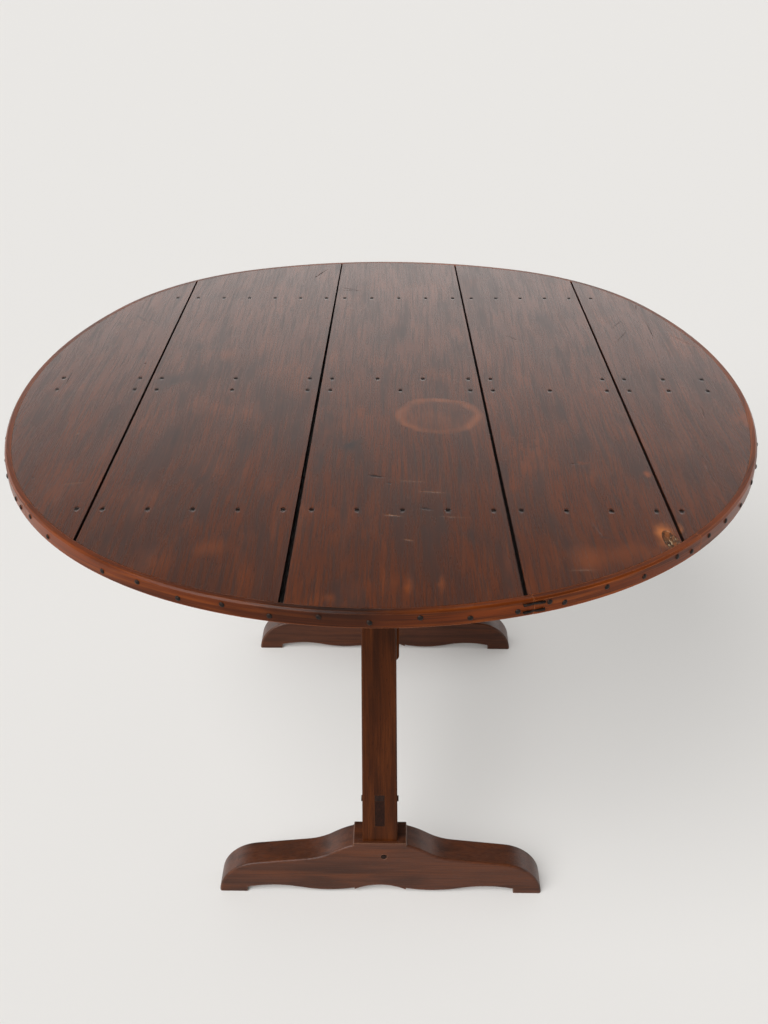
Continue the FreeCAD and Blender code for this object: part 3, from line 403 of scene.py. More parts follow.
@dataclass(frozen=True)
class WoodFinish:
    """A wood and how its surface was made.

    Args:
        name: wood and finish.
        ground: colour of the clear wood.
        layers: figure, smoke, lines and pores over it.
        roughness: of the finish over clear wood.
        gloss: level of its reflections, 0.5 for the plain reflection of its IOR.
        wander: how far the grain strays from a straight line, mm.
        edge_wear_and_highlight: colour of worn edges, on some also a painted highlight, or an empty string.
        edge_wear_and_highlight_width: how far from an edge they are worn and highlighted, mm.
        bare: pale and dark colour of an underside that was never finished, or nothing.
        soot: colour of the dirt in its seams and pits, or an empty string.
        pit: size of the stained dent round a nail, from its floor to its edge, mm.
    """

    name: str
    ground: str
    layers: tuple[Layer, ...]
    roughness: float
    gloss: float = 0.5
    wander: float = 10.0
    edge_wear_and_highlight: str = ""
    edge_wear_and_highlight_width: float = 3.0
    bare: tuple[str, ...] = ()
    soot: str = ""
    pit: tuple[float, float] = (1.6, 4.4)

    def grain_place(self, tree: NodeTree, grain: Grain, shift: float) -> NodeSocket:
        """Adds coordinates whose Y runs along the grain, with slow waves across it.

        Args:
            tree: the material's tree.
            grain: which way the grain runs.
            shift: moves the pattern, so that no two boards are cut from the same place, metres.

        Returns:
            The coordinates, metres.
        """
        place = add_node(tree, "TexCoord", out="Object")
        turned = add_node(tree, "Mapping", {"Vector": place, "Rotation": grain.value})
        if grain is Grain.ROUND_RIM:
            parts = add_node(tree, "SeparateXYZ", (turned,)).node.outputs
            angle = add_node(tree, "Math", (parts["Y"], parts["X"]), operation="ARCTAN2")
            along = add_node(tree, "Math", (angle, CAD_BOX[1].y), operation="MULTIPLY")
            level = add_node(tree, "VectorMath", (turned, (1.0, 1.0, 0.0)), operation="MULTIPLY")
            radius = add_node(tree, "VectorMath", (level,), "Value", operation="LENGTH")
            across = add_node(tree, "Math", (parts["Z"], radius), operation="SUBTRACT")
            turned = add_node(tree, "CombineXYZ", {"X": across, "Y": along})
        moves = (shift, SHIFT_ALONG * shift, shift)
        moved = add_node(tree, "Mapping", {"Vector": turned, "Location": moves})
        slow = add_node(tree, "TexNoise", {"Vector": moved, "Scale": WAVES, "Detail": 1.0}, "Color")
        swing = 2 * self.wander * MM
        return add_node(
            tree, "VectorMath", (slow, (swing, 0.0, swing), moved), operation="MULTIPLY_ADD"
        )

    def nail_stain(self, tree: NodeTree, nails: tuple[Vector, ...]) -> NodeSocket:
        """Adds the share of dirt in the ragged dents, drawn out along the grain, round the nails.

        Args:
            tree: the material's tree.
            nails: where the nails are, metres.

        Returns:
            The share, from 0 to 1.
        """
        strayed, _ = ragged_place(tree, PIT_RAGGED, 2.0, self.pit[1] * MM)
        drawn = add_node(tree, "VectorMath", (strayed, PIT_DRAWN), operation="MULTIPLY")
        nearest = 1.0
        for nail in nails:
            places = (drawn, nail * PIT_DRAWN)
            away = add_node(tree, "VectorMath", places, "Value", operation="DISTANCE")
            nearest = add_node(tree, "Math", (away, nearest), operation="MINIMUM")
        floor, edge = (size * MM for size in self.pit)
        levels = (nearest, floor, edge, PIT_SHARE, 0.0)
        return add_node(tree, "MapRange", levels, interpolation_type="SMOOTHSTEP")

    def material(
        self,
        suffix: str,
        grain: Grain,
        shift: float,
        marks: tuple[Mark, ...] = (),
        nails: tuple[Vector, ...] = (),
    ) -> Material:
        """Builds the finish for one piece.

        Args:
            suffix: added to the finish's name.
            grain: which way the piece's grain runs.
            shift: moves the pattern along and across, metres.
            marks: marks of use on its upper face.
            nails: nails driven through its upper face, metres.

        Returns:
            The material.
        """
        material, tree = new_material(f"{self.name}_{suffix}")
        under, top = (corner.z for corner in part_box("plank_centre"))
        place = self.grain_place(tree, grain, shift)
        surface = Surface(tree, linear(self.ground), self.roughness)
        figure = [layer.reach(tree, place, i) for i, layer in enumerate(self.layers)]
        for layer, share in zip(self.layers, figure):
            surface.coat(share, layer.colour, layer.sink, layer.dull)
        for mark in marks:
            look = mark.kind.value
            surface.coat(mark.share(tree, top), look.colour, look.sink, look.dull)
        if nails:
            surface.coat(self.nail_stain(tree, nails), self.soot, PIT_DEPTH)
        # Paler worn edges; on the hoop and the feet this colour is also a painted highlight.
        if self.edge_wear_and_highlight:
            rounded = add_node(tree, "Bevel", {"Radius": self.edge_wear_and_highlight_width * MM}, samples=4)
            normals = (rounded, add_node(tree, "NewGeometry", out="Normal"))
            agree = add_node(tree, "VectorMath", normals, "Value", operation="DOT_PRODUCT")
            worn = add_node(tree, "MapRange", (agree, *EDGE_TURN, 0.0, EDGE_SHARE))
            surface.coat(worn, self.edge_wear_and_highlight)
        if self.soot:
            start, full = (top - depth * MM for depth in SEAM_DEPTH)
            sunk = add_node(tree, "MapRange", (object_height(tree), start, full, 0.0, SEAM_SHARE))
            surface.coat(sunk, self.soot, dull=SEAM_DULL)
        if self.bare:
            heights = (object_height(tree), under + BARE_SKIN * MM)
            below = add_node(tree, "Math", heights, operation="LESS_THAN")
            pale, dark = (linear(shade) for shade in self.bare)
            grey = add_node(tree, "Mix", {0: figure[0], 6: pale, 7: dark}, 2, data_type="RGBA")
            over = {0: below, 6: surface.colour, 7: grey}
            surface.colour = add_node(tree, "Mix", over, 2, data_type="RGBA")
            surface.rough = add_node(tree, "Mix", {0: below, 2: surface.rough, 3: BARE_ROUGH})
        bump = add_node(tree, "Bump", {"Height": surface.relief, "Distance": MM, "Strength": 1.0})
        shader = add_node(
            tree,
            "BsdfPrincipled",
            {
                "Base Color": surface.colour,
                "Roughness": surface.rough,
                "Normal": bump,
                "IOR": WOOD_IOR,
                "Specular IOR Level": self.gloss,
            },
        )
        add_node(tree, "OutputMaterial", {"Surface": shader})
        return material


@dataclass(frozen=True)
class IronFinish:
    """Forged iron that has gone dark in the wood.

    Args:
        name: metal and finish.
        scale: colour of the hammer scale.
        rust: colour of the brown rust.
        spot: size of the rust spots, mm.
        pitting: height of the pits that the rust has left, mm.
        roughness: from bare scale to rust.
        metallic: share of bare metal, the rest being scale and rust.
        spotted: noise levels from bare scale to rust.
    """

    name: str
    scale: str
    rust: str
    spot: float = 3.0
    pitting: float = 0.4
    roughness: tuple[float, float] = (0.32, 0.72)
    metallic: float = 0.7
    spotted: tuple[float, float] = (0.42, 0.66)

    def material(self) -> Material:
        """Builds the finish.

        Returns:
            The material.
        """
        material, tree = new_material(self.name)
        place = add_node(tree, "TexCoord", out="Object")
        spots = {"Vector": place, "Scale": 1 / (self.spot * MM), "Detail": 3.0}
        noise = add_node(tree, "TexNoise", spots)
        stops = list(zip(self.spotted, (linear(self.scale), linear(self.rust))))
        colour = add_node(tree, "ValToRGB", (noise,), stops=stops)
        rough = add_node(tree, "MapRange", (noise, 0.0, 1.0, *self.roughness))
        pits = {"Height": noise, "Distance": self.pitting * MM, "Strength": 1.0}
        bump = add_node(tree, "Bump", pits)
        shader = add_node(
            tree,
            "BsdfPrincipled",
            {"Base Color": colour, "Roughness": rough, "Metallic": self.metallic, "Normal": bump},
        )
        add_node(tree, "OutputMaterial", {"Surface": shader})
        return material


# Old walnut, hand planed and waxed for a century: red-brown, with soft smoky streaks along the grain
# and redder patches where cloths have rubbed it. The satin wax shows a pale sheen at a low angle. The
# last layer has no colour of its own: it is the ripple of the plane, 0.02 of 8 mm deep. Pores are really
# 0.2 mm wide and fine lines 0.5 mm, too fine to show, so they are drawn about four times as wide.
WAXED_WALNUT = WoodFinish(
    name="walnut_planed_and_waxed",
    ground="#5C2B11",
    layers=(
        Layer("#38190B", 24, 190, 0.65, 0.42, 0.72, 4, 0.2, dull=0.05),
        Layer("#6E3617", 17, 150, 0.55, 0.46, 0.74, 4, 0.25),
        Layer("#1F130E", 70, 190, 0.75, 0.45, 0.84, 4, 0.15, dull=0.06),
        Layer("#7E3F1B", 76, 130, 0.4, 0.52, 0.76, 4, 0.2),
        Layer("#2E1508", 4.5, 110, 0.5, 0.46, 0.66, 2, dull=0.06),
        Layer("#2C140A", 1.6, 90, 0.5, 0.46, 0.64, 1, sink=0.02, dull=0.05),
        Layer("#1C0C06", 0.8, 11, 0.4, 0.62, 0.70, 1, sink=0.05),
        Layer("#5C2B11", 55, 210, 0.02, 0.3, 0.7, 1, sink=8),
    ),
    roughness=0.24,
    bare=("#5E4C3D", "#43342A"),
    soot="#0C0705",
)

# Ash strip, steam bent and oiled: straight fine grain round the rim, orange, polished by sleeves.
# Its pale edge colour is partly that wear and partly a painted highlight.
BENT_ASH = WoodFinish(
    name="ash_bent_and_oiled",
    ground="#6A2E0B",
    layers=(
        Layer("#3A1705", 8, 240, 0.7, 0.44, 0.70, 4),
        Layer("#8E4717", 5, 150, 0.55, 0.48, 0.70, 3),
        Layer("#331406", 60, 220, 0.45, 0.52, 0.72, 3),
        Layer("#2C1105", 1.4, 150, 0.55, 0.50, 0.66, 2, sink=0.08),
    ),
    roughness=0.3,
    gloss=0.14,
    wander=4.0,
    # Pale edges: worn wood, lightened further as a painted highlight.
    edge_wear_and_highlight="#A8623A",
    edge_wear_and_highlight_width=2.0,
)

# Walnut trestle, sawn and planed, dark with dirt and wax, its corners polished by feet.
TRESTLE_WALNUT = WoodFinish(
    name="walnut_sawn_and_waxed",
    ground="#47220D",
    layers=(
        Layer("#2A1409", 15, 260, 0.7, 0.42, 0.70, 4, 0.2),
        Layer("#5E3014", 11, 200, 0.6, 0.47, 0.70, 4, 0.2),
        Layer("#24130B", 50, 140, 0.5, 0.50, 0.72, 4),
        Layer("#2A1409", 1.4, 110, 0.4, 0.46, 0.64, 1, sink=0.06),
        Layer("#1C0C06", 0.8, 12, 0.45, 0.62, 0.70, 1, sink=0.14),
    ),
    roughness=0.34,
    gloss=0.06,
    wander=6.0,
    edge_wear_and_highlight="#5C331A",
)

# The same walnut at the feet, scuffed by shoes and brooms: paler and less red.
# Its pale edge colour is partly scuffing and partly a painted highlight.
SCUFFED_WALNUT = replace(
    TRESTLE_WALNUT,
    name="walnut_sawn_and_scuffed",
    ground="#522D1C",
    gloss=0.24,
    # Pale edges: scuffed wood, lightened further as a painted highlight.
    edge_wear_and_highlight="#8E6A52",
)

# End grain of the stretcher's tenons, which drank the wax and went nearly black.
END_GRAIN = replace(
    TRESTLE_WALNUT,
    name="walnut_end_grain",
    ground="#27140D",
    layers=(
        Layer("#120906", 2, 2, 0.7, 0.46, 0.66, 2, sink=0.1),
        Layer("#3C2216", 7, 11, 0.5, 0.5, 0.7),
    ),
    edge_wear_and_highlight="",
)

# Softwood battens, sawn and never finished: dull grey-brown, dry and rough.
SAWN_BATTEN = WoodFinish(
    name="softwood_sawn_and_bare",
    ground="#655040",
    layers=(
        Layer("#4A392C", 22, 280, 0.7),
        Layer("#7C6550", 14, 200, 0.6),
        Layer("#43342A", 3, 190, 0.5, 0.46, 0.64, 2, sink=0.2),
        Layer("#3A2C22", 30, 2.2, 0.3, 0.55, 0.68, 2, sink=0.25),
    ),
    roughness=0.72,
)

# Oak pegs and wedges, whittled: dark end grain with open pores.
WHITTLED_OAK = WoodFinish(
    name="oak_whittled",
    ground="#291913",
    layers=(
        Layer("#170E0A", 5, 40, 0.7),
        Layer("#46301F", 3, 30, 0.5, 0.5, 0.7),
        Layer("#120A07", 0.9, 7, 0.6, 0.56, 0.66, 1, sink=0.2),
    ),
    roughness=0.55,
    gloss=0.1,
)

# Wood torn open at the broken corner: pale splinters with dirt between them.
TORN_WALNUT = WoodFinish(
    name="walnut_torn",
    ground="#6E4526",
    layers=(
        Layer("#2A170B", 3, 9, 0.9, 0.44, 0.6, 4, 0.4, sink=0.6),
        Layer("#B39A78", 2.4, 7, 0.8, 0.55, 0.66, 4, 0.4),
        Layer("#8A4A1C", 8, 14, 0.6, 0.5, 0.66),
    ),
    roughness=0.75,
)

# Nails and staples, forged and blackened by the tannin of the wood: dull black with brown spots.
BLACK_IRON = IronFinish(name="iron_forged_and_blackened", scale="#191513", rust="#33231B")


def deselect() -> None:
    """Leaves object mode's selection empty."""
    if bpy.context.mode != "OBJECT":
        bpy.ops.object.mode_set(mode="OBJECT")
    bpy.ops.object.select_all(action="DESELECT")


def activate(piece: Object) -> None:
    """Makes a piece the only selected and active object."""
    deselect()
    bpy.context.view_layer.objects.active = piece
    piece.select_set(True)


@contextmanager
def edit_mode() -> Iterator[None]:
    """Opens the active object's mesh with everything selected, and closes it again."""
    bpy.ops.object.mode_set(mode="EDIT")
    bpy.ops.mesh.select_all(action="SELECT")
    yield
    bpy.ops.object.mode_set(mode="OBJECT")


def apply_modifier(piece: Object, kind: str, **settings: object) -> None:
    """Adds a modifier to a piece and applies it.

    Args:
        piece: the piece.
        kind: type of the modifier.
        settings: its attributes.
    """
    modifier = piece.modifiers.new(kind.lower(), kind)
    for name, value in settings.items():
        setattr(modifier, name, value)
    activate(piece)
    bpy.ops.object.modifier_apply(modifier=modifier.name)


def merged_copy(node: str, name: str) -> Object:
    """Copies a CAD node's mesh into a new piece and joins its loose triangles.

    Args:
        node: the CAD node.
        name: name of the new piece.

    Returns:
        The new piece, at the origin.
    """
    piece = bpy.data.objects.new(name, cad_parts[node].data.copy())
    bpy.context.scene.collection.objects.link(piece)
    piece.data.materials.clear()
    activate(piece)
    bpy.ops.mesh.customdata_custom_splitnormals_clear()
    with edit_mode():
        bpy.ops.mesh.remove_doubles(threshold=WELD * MM)
        bpy.ops.mesh.dissolve_limited(angle_limit=math.radians(FLAT))
    return piece


def solids_of(node: str) -> list[list[Vector]]:
    """Finds the corners of each separate solid in a CAD node.

    Args:
        node: the CAD node.

    Returns:
        The corners, solid by solid, metres.
    """
    merged_copy(node, "solids")
    with edit_mode():
        bpy.ops.mesh.separate(type="LOOSE")
    parts = sorted(bpy.context.selected_objects, key=lambda part: part.name)
    corners = [[vertex.co.copy() for vertex in part.data.vertices] for part in parts]
    for part in parts:
        bpy.data.objects.remove(part)
    return corners


@dataclass(frozen=True)
class BrokenCorner:
    """A splintered hollow where a corner of a plank has broken off.

    Args:
        place: its middle, metres.
        half: half its size, mm.
        turn: degrees that it is turned about the vertical.
        splinter: how far its face strays, mm.
    """

    place: tuple[float, float, float]
    half: tuple[float, float, float]
    turn: float
    splinter: float

    def cut(self, plank: Object) -> None:
        """Breaks the corner out of a plank.

        Args:
            plank: the piece that loses its corner.
        """
        deselect()
        bpy.ops.mesh.primitive_ico_sphere_add(subdivisions=4, radius=MM, location=(0, 0, 0))
        hollow = bpy.context.active_object
        hollow.data.materials.append(TORN_WALNUT.material("broken_corner", Grain.ALONG_Y, 0.0))
        with edit_mode():
            bpy.ops.transform.resize(value=self.half, center_override=(0, 0, 0))
            turn = math.radians(self.turn)
            bpy.ops.transform.rotate(value=turn, orient_axis="Z", center_override=(0, 0, 0))
            bpy.ops.transform.vertex_random(offset=self.splinter * MM, seed=SPLINTER_SEED)
            bpy.ops.transform.translate(value=self.place)
        apply_modifier(
            plank,
            "BOOLEAN",
            operation="DIFFERENCE",
            solver="EXACT",
            material_mode="TRANSFER",
            object=hollow,
        )
        bpy.data.objects.remove(hollow)


@dataclass
class EasedPart:
    """A rigid node, dressed as a copy with eased edges.

    Args:
        node: the CAD node that it stands for.
        body: the body that it rides on.
        slot: the record's material slot; not used.
        finish: its wood.
        grain: which way its grain runs.
        ease: width of the rounded edges, mm.
        shift: where its pattern is cut from, metres.
        marks: marks of use.
        nails: nails driven through its upper face, metres.
        broken: corner that has broken off, if any.
        ends: finish of the faces across its grain along Y, if it differs.
        segments: facets across a rounded edge.
        sharp: edges over this angle are rounded, degrees.
    """

    node: str
    body: str
    slot: str
    finish: WoodFinish
    grain: Grain
    ease: float
    shift: float
    marks: tuple[Mark, ...] = ()
    nails: tuple[Vector, ...] = ()
    broken: BrokenCorner | None = None
    ends: WoodFinish | None = None
    segments: int = 3
    sharp: float = 38.0

    def build(self) -> Object:
        """Makes the eased copy and dresses it.

        Returns:
            The finished piece.
        """
        piece = merged_copy(self.node, f"{self.node}_eased")
        piece.data.materials.append(
            self.finish.material(self.node, self.grain, self.shift, self.marks, self.nails)
        )
        self.ease_edges(piece)
        if self.broken:
            self.broken.cut(piece)
        if self.ends:
            piece.data.materials.append(self.ends.material(self.node, self.grain, self.shift))
            for face in piece.data.polygons:
                face.material_index = int(abs(face.normal.y) > END_FACING)
        self.smooth(piece)
        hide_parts(self.node)
        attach(piece, self.body)
        LOG.info("%s: %d faces", piece.name, len(piece.data.polygons))
        return piece

    def ease_edges(self, piece: Object) -> None:
        """Rounds the sharp edges of a piece."""
        apply_modifier(
            piece,
            "BEVEL",
            width=self.ease * MM,
            segments=self.segments,
            limit_method="ANGLE",
            angle_limit=math.radians(self.sharp),
        )

    def smooth(self, piece: Object) -> None:
        """Smooths the rounded edges into the flat faces beside them."""
        activate(piece)
        bpy.ops.object.shade_smooth_by_angle(angle=math.radians(self.sharp))
        apply_modifier(piece, "WEIGHTED_NORMAL", keep_sharp=True)


def build_eased(
    grains: dict[str, Grain],
    body: str,
    slot: str,
    finish: WoodFinish,
    ease: float,
    first: float,
    step: float = 1.0,
    **ends: WoodFinish,
) -> None:
    """Builds pieces of one wood, each cut from its own place in the pattern.

    Args:
        grains: the CAD nodes and which way their grain runs.
        body: the body that they ride on.
        slot: the record's material slot.
        finish: their wood.
        ease: width of the rounded edges, mm.
        first: where the first one's pattern is cut from, metres.
        step: how far on the next one's is, metres.
        ends: finish of the faces across the grain, for the nodes where it differs.
    """
    for i, (node, grain) in enumerate(grains.items()):
        shift = first + step * i
        EasedPart(node, body, slot, finish, grain, ease, shift, ends=ends.get(node)).build()


CRACK, SMUDGE, GREASE, RUB, WORN, SCRATCH, RING = MarkKind

# The marks of use on each plank, from the left.
TOP_MARKS: dict[str, tuple[Mark, ...]] = {
    "plank_far_left": (
        Mark(SMUDGE, (-436, 299), (-399, 253), 8, 0.8),
        Mark(SMUDGE, (-409, 285), (-381, 245), 7, 0.7),
        Mark(SMUDGE, (-448, 231), (-448, 267), 24, 0.6),
        Mark(SMUDGE, (-507, 174), (-487, 187), 24, 0.7),
        Mark(SMUDGE, (-389, 88), (-389, 156), 36, 0.75),
        Mark(CRACK, (-376, 82.8), (-376, 89.2), 5.2),
        Mark(CRACK, (-485, 63), (-482, -3), 2, 0.8),
        Mark(SCRATCH, (-394.5, -296.35), (-395.5, -291.65), 40, 0.5),
        Mark(CRACK, (-454, -285), (-454, -277), 5.2),
        Mark(SCRATCH, (-426, -156.4), (-426, -149.6), 4.8, 0.9),
    ),
    "plank_left": (
        Mark(SMUDGE, (-299, 188), (-294, 83), 26, 0.7),
        Mark(SMUDGE, (-321, 60), (-315, -13), 66, 0.75),
        Mark(CRACK, (-137, 472), (-108, 532), 4, 0.8),
        Mark(SMUDGE, (-110, 425), (-96, 500), 26, 0.6),
        Mark(RUB, (-253, 180), (-241, 76), 40, 0.35),
        Mark(RUB, (-200, -470), (-190, -420), 70, 0.3),
    ),
    "plank_centre": (
        Mark(RING, (85, -154), (85, -34), 132, 0.65),
        Mark(CRACK, (-84, 432), (-40, 408), 3, 0.7),
        Mark(CRACK, (-80, 414), (-52, 412), 2.4, 0.6),
        Mark(SMUDGE, (-25, -148), (-47, -216), 26, 0.9),
        Mark(SMUDGE, (-86, -171), (-80, -285), 26, 0.8),
        Mark(SMUDGE, (120, -475), (120, -375), 56, 0.4),
        Mark(CRACK, (-17, -270), (10, -277), 7),
        Mark(CRACK, (9, -288), (19, -293), 6),
        Mark(CRACK, (53, -353), (71, -358), 7),
        Mark(RUB, (38, -492), (38, -547), 16, 0.8),
        Mark(RUB, (76, -491), (74, -546), 14, 0.7),
        Mark(RUB, (-51, -562), (-51, -530), 24, 0.6),
        Mark(SCRATCH, (20, -283), (70, -288), 3, 0.6),
        Mark(SCRATCH, (40, -310), (100, -316), 3, 0.7),
        Mark(SCRATCH, (2, -369), (38, -373), 4, 0.9),
        Mark(SCRATCH, (70, -372), (122, -376), 3, 0.6),
        Mark(SCRATCH, (29, -424), (48, -430), 4, 0.9),
    ),
    "plank_right": (
        Mark(SMUDGE, (288.53, 172.88), (263.47, 351.12), 96, 0.45),
        Mark(SMUDGE, (279.99, 100.35), (290.01, 171.65), 28, 0.65),
        Mark(SMUDGE, (329.71, 99.37), (340.29, 174.63), 34, 0.9),
        Mark(CRACK, (204, 204), (227, 179), 2.6, 0.8),
        Mark(RUB, (253, -492), (253, -432), 80, 0.5),
        Mark(RUB, (306, -476), (306, -428), 84, 0.35),
        Mark(WORN, (353, -374), (343, -450), 32),
        Mark(RUB, (355, -276), (355, -252), 18, 0.9),
        Mark(RUB, (273, -241), (273, -229), 24, 0.7),
        Mark(CRACK, (262, -239.6), (262, -234.4), 12),
        Mark(SCRATCH, (215, -490), (265, -488), 2, 0.8),
        Mark(SMUDGE, (274, -429), (274, -413), 20, 0.7),
        Mark(CRACK, (274, -421), (263, -381), 1.4, 0.5),
    ),
    "plank_far_right": (
        Mark(RUB, (473, 219), (518, 143), 18, 0.4),
        Mark(CRACK, (383, 231), (410, 272), 2, 0.7),
        Mark(CRACK, (384, 176), (409, 223), 2, 0.8),
        Mark(CRACK, (446, 347), (442, 318), 1.8, 0.9),
        Mark(CRACK, (449, 276), (449, 186), 1.8, 0.9),
        Mark(CRACK, (473, 219), (518, 143), 2.2, 0.9),
        Mark(CRACK, (436, -232), (437, -301), 1.8, 0.9),
        Mark(CRACK, (471, -64), (466, -106), 1.8, 0.8),
        Mark(CRACK, (457, -158), (457, -152), 6),
        Mark(WORN, (369, -412), (369, -382), 12, 0.8),
        Mark(RUB, (524, -146), (524, -74), 20, 0.7),
    ),
}


@dataclass
class PlankTop:
    """The five planks with the marks of their use.

    Args:
        ease: rounding of the plank edges, mm.
        marks: marks on each plank, from the left.
        corner: the broken corner of the right plank.
        first: where the left plank's pattern is cut from, metres.
        step: how far on the next plank's is, metres.
    """

    ease: float = 0.9
    marks: dict[str, tuple[Mark, ...]] = field(default_factory=lambda: TOP_MARKS)
    corner: BrokenCorner = BrokenCorner((0.3535, -0.4285, 0.7305), (9.5, 26.0, 5.0), -8.0, 0.9)
    first: float = 0.9
    step: float = 1.37

    def build(self) -> None:
        """Makes and dresses the planks."""
        nails = [sum(corners, Vector()) / len(corners) for corners in solids_of("plank_nails")]
        for i, (node, marks) in enumerate(self.marks.items()):
            low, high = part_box(node)
            own = tuple(Vector((p.x, p.y, high.z)) for p in nails if low.x < p.x < high.x)
            shift = self.first + self.step * i
            broken = self.corner if node == "plank_right" else None
            EasedPart(
                node, "top", "waxed_plank", WAXED_WALNUT, Grain.ALONG_Y, self.ease, shift, marks, own, broken
            ).build()


@dataclass
class NailedHoop:
    """The bent hoop and the forged nails and staples that hold it.

    Args:
        ease: rounding of the strips' edges, mm.
        head: width of a nail head, mm.
        dome: height of a nail head, mm.
        uneven: how much the hammered heads differ in size.
        bruise: how far the hammer has bent the staples' faces, mm.
        driven: how far it has driven the middle of their crowns into the wood, mm.
        crown: share of a staple's half length that is driven in.
        dark_front_patch: a darker patch across the front of the hoop.
        step: how far on the next strip's pattern is cut from, metres.
        widths: sum of the two widths of a hammered head, as shares of head.
    """

    ease: float = 0.9
    head: float = 7.2
    dome: float = 1.7
    uneven: float = 0.16
    bruise: float = 0.5
    driven: float = 1.4
    crown: float = 0.4
    # Makes the middle of the hoop's front darker.
    dark_front_patch: Mark = Mark(GREASE, (-55, -658), (-55, -498), 420)
    step: float = 0.31
    widths: float = 1.9

    def build(self) -> None:
        """Makes the strips, the nail heads and the staples."""
        for i, node in enumerate(("hoop_front", "hoop_right", "hoop_back")):
            marks = (self.dark_front_patch,) if node == "hoop_front" else ()
            EasedPart(
                node, "top", "bent_hoop", BENT_ASH, Grain.ROUND_RIM, self.ease, self.step * i, marks
            ).build()
        self.nail_heads()
        self.staples()

    def nail_head(self) -> Object:
        """Models one hammered nail head, seated at the origin and pointing up.

        Returns:
            The head.
        """
        deselect()
        bpy.ops.mesh.primitive_uv_sphere_add(
            segments=9, ring_count=8, radius=self.head / 2 * MM, location=(0, 0, 0)
        )
        head = bpy.context.active_object
        head.name = "nail_head"
        with edit_mode():
            bpy.ops.mesh.bisect(plane_co=(0, 0, 0), plane_no=(0, 0, 1), clear_inner=True, use_fill=True)
            bpy.ops.mesh.select_all(action="SELECT")
            flat = (1.0, 1.0, 2 * self.dome / self.head)
            bpy.ops.transform.resize(value=flat, center_override=(0, 0, 0))
        return head

    def nail_heads(self) -> Object:
        """Sets a head on each nail of the rim and joins them into one piece.

        Returns:
            The joined heads.
        """
        draw = random.Random(HEAD_SEED)
        model = self.nail_head()
        heads = []
        for nail in solids_of("hoop_nails"):
            corners = sorted(nail, key=lambda corner: corner.xy.length)
            tip = sum(corners[:4], Vector()) / 4
            outward = (corners[-1] - tip).normalized()
            seat = corners[-1] - outward * self.dome * MM
            head = bpy.data.objects.new("nail_head_set", model.data.copy())
            bpy.context.scene.collection.objects.link(head)
            grow = 1 + self.uneven * (draw.random() - 0.5)
            turn = outward.to_track_quat("Z", "Y").to_matrix().to_4x4()
            roll = Matrix.Rotation(draw.uniform(0, math.tau), 4, "Z")
            squeeze = Matrix.Diagonal((grow, self.widths - grow, 1.0, 1.0))
            head.data.transform(Matrix.Translation(seat) @ turn @ roll @ squeeze)
            heads.append(head)
        bpy.data.objects.remove(model)
        deselect()
        for head in heads:
            head.select_set(True)
        joined = heads[0]
        bpy.context.view_layer.objects.active = joined
        bpy.ops.object.join()
        joined.name = "hoop_nails_forged"
        bpy.ops.object.shade_smooth_by_angle(angle=math.radians(HEAD_SMOOTH))
        joined.data.materials.append(BLACK_IRON.material())
        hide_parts("hoop_nails")
        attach(joined, "top")
        LOG.info("%s: %d heads", joined.name, len(heads))
        return joined

    def staples(self) -> Object:
        """Hammers the staples across the front joint out of their straight lines.

        Returns:
            The staples.
        """
        piece = merged_copy("hoop_staples", "hoop_staples_hammered")
        with edit_mode():
            bpy.ops.mesh.quads_convert_to_tris()
            bpy.ops.mesh.subdivide(number_cuts=3)
            bpy.ops.transform.vertex_random(offset=self.bruise * MM, seed=BRUISE_SEED)
            bpy.ops.mesh.select_all(action="DESELECT")
        corners = [vertex.co for vertex in piece.data.vertices]
        centre = sum(corners, Vector()) / len(corners)
        outward = Vector((centre.x, centre.y, 0.0)).normalized()
        along = Vector((-outward.y, outward.x, 0.0))
        reach = max(abs((corner - centre).dot(along)) for corner in corners)
        for vertex in piece.data.vertices:
            vertex.select = abs((vertex.co - centre).dot(along)) < self.crown * reach
        bpy.ops.object.mode_set(mode="EDIT")
        bpy.ops.transform.translate(value=-outward * self.driven * MM)
        bpy.ops.object.mode_set(mode="OBJECT")
        bpy.ops.object.shade_smooth_by_angle(angle=math.radians(STAPLE_SMOOTH))
        piece.data.materials.append(BLACK_IRON.material())
        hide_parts("hoop_staples")
        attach(piece, "top")
        LOG.info("%s: %d faces", piece.name, len(piece.data.polygons))
        return piece


def dress(node: str, material: Material) -> None:
    """Gives a CAD node that keeps its shape its finish.

    Args:
        node: the node.
        material: its finish.
    """
    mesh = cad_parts[node].data
    mesh.materials.clear()
    mesh.materials.append(material)
    LOG.info("%s: %s", node, material.name)


@dataclass
class Underside:
    """Battens, rest, pins and nails under the top.

    Args:
        batten_ease: rounding of the battens' edges, mm.
        pin_ease: rounding of the pins' edges, mm.
    """

    batten_ease: float = 1.0
    pin_ease: float = 0.8

    def build(self) -> None:
        """Makes the eased battens and pins and dresses the nails."""
        battens = dict.fromkeys(
            ("front_bearer", "rear_bearer", "middle_batten", "wing_rest"), Grain.ALONG_X
        )
        build_eased(battens, "top", "under_batten", SAWN_BATTEN, self.batten_ease, 0.7, 0.9)
        pins = dict.fromkeys(("front_pivot_pin", "rear_pivot_pin"), Grain.ALONG_Y)
        build_eased(pins, "top", "hardwood_peg", WHITTLED_OAK, self.pin_ease, 0.2)
        for node in ("plank_nails", "rest_nails"):
            dress(node, BLACK_IRON.material())


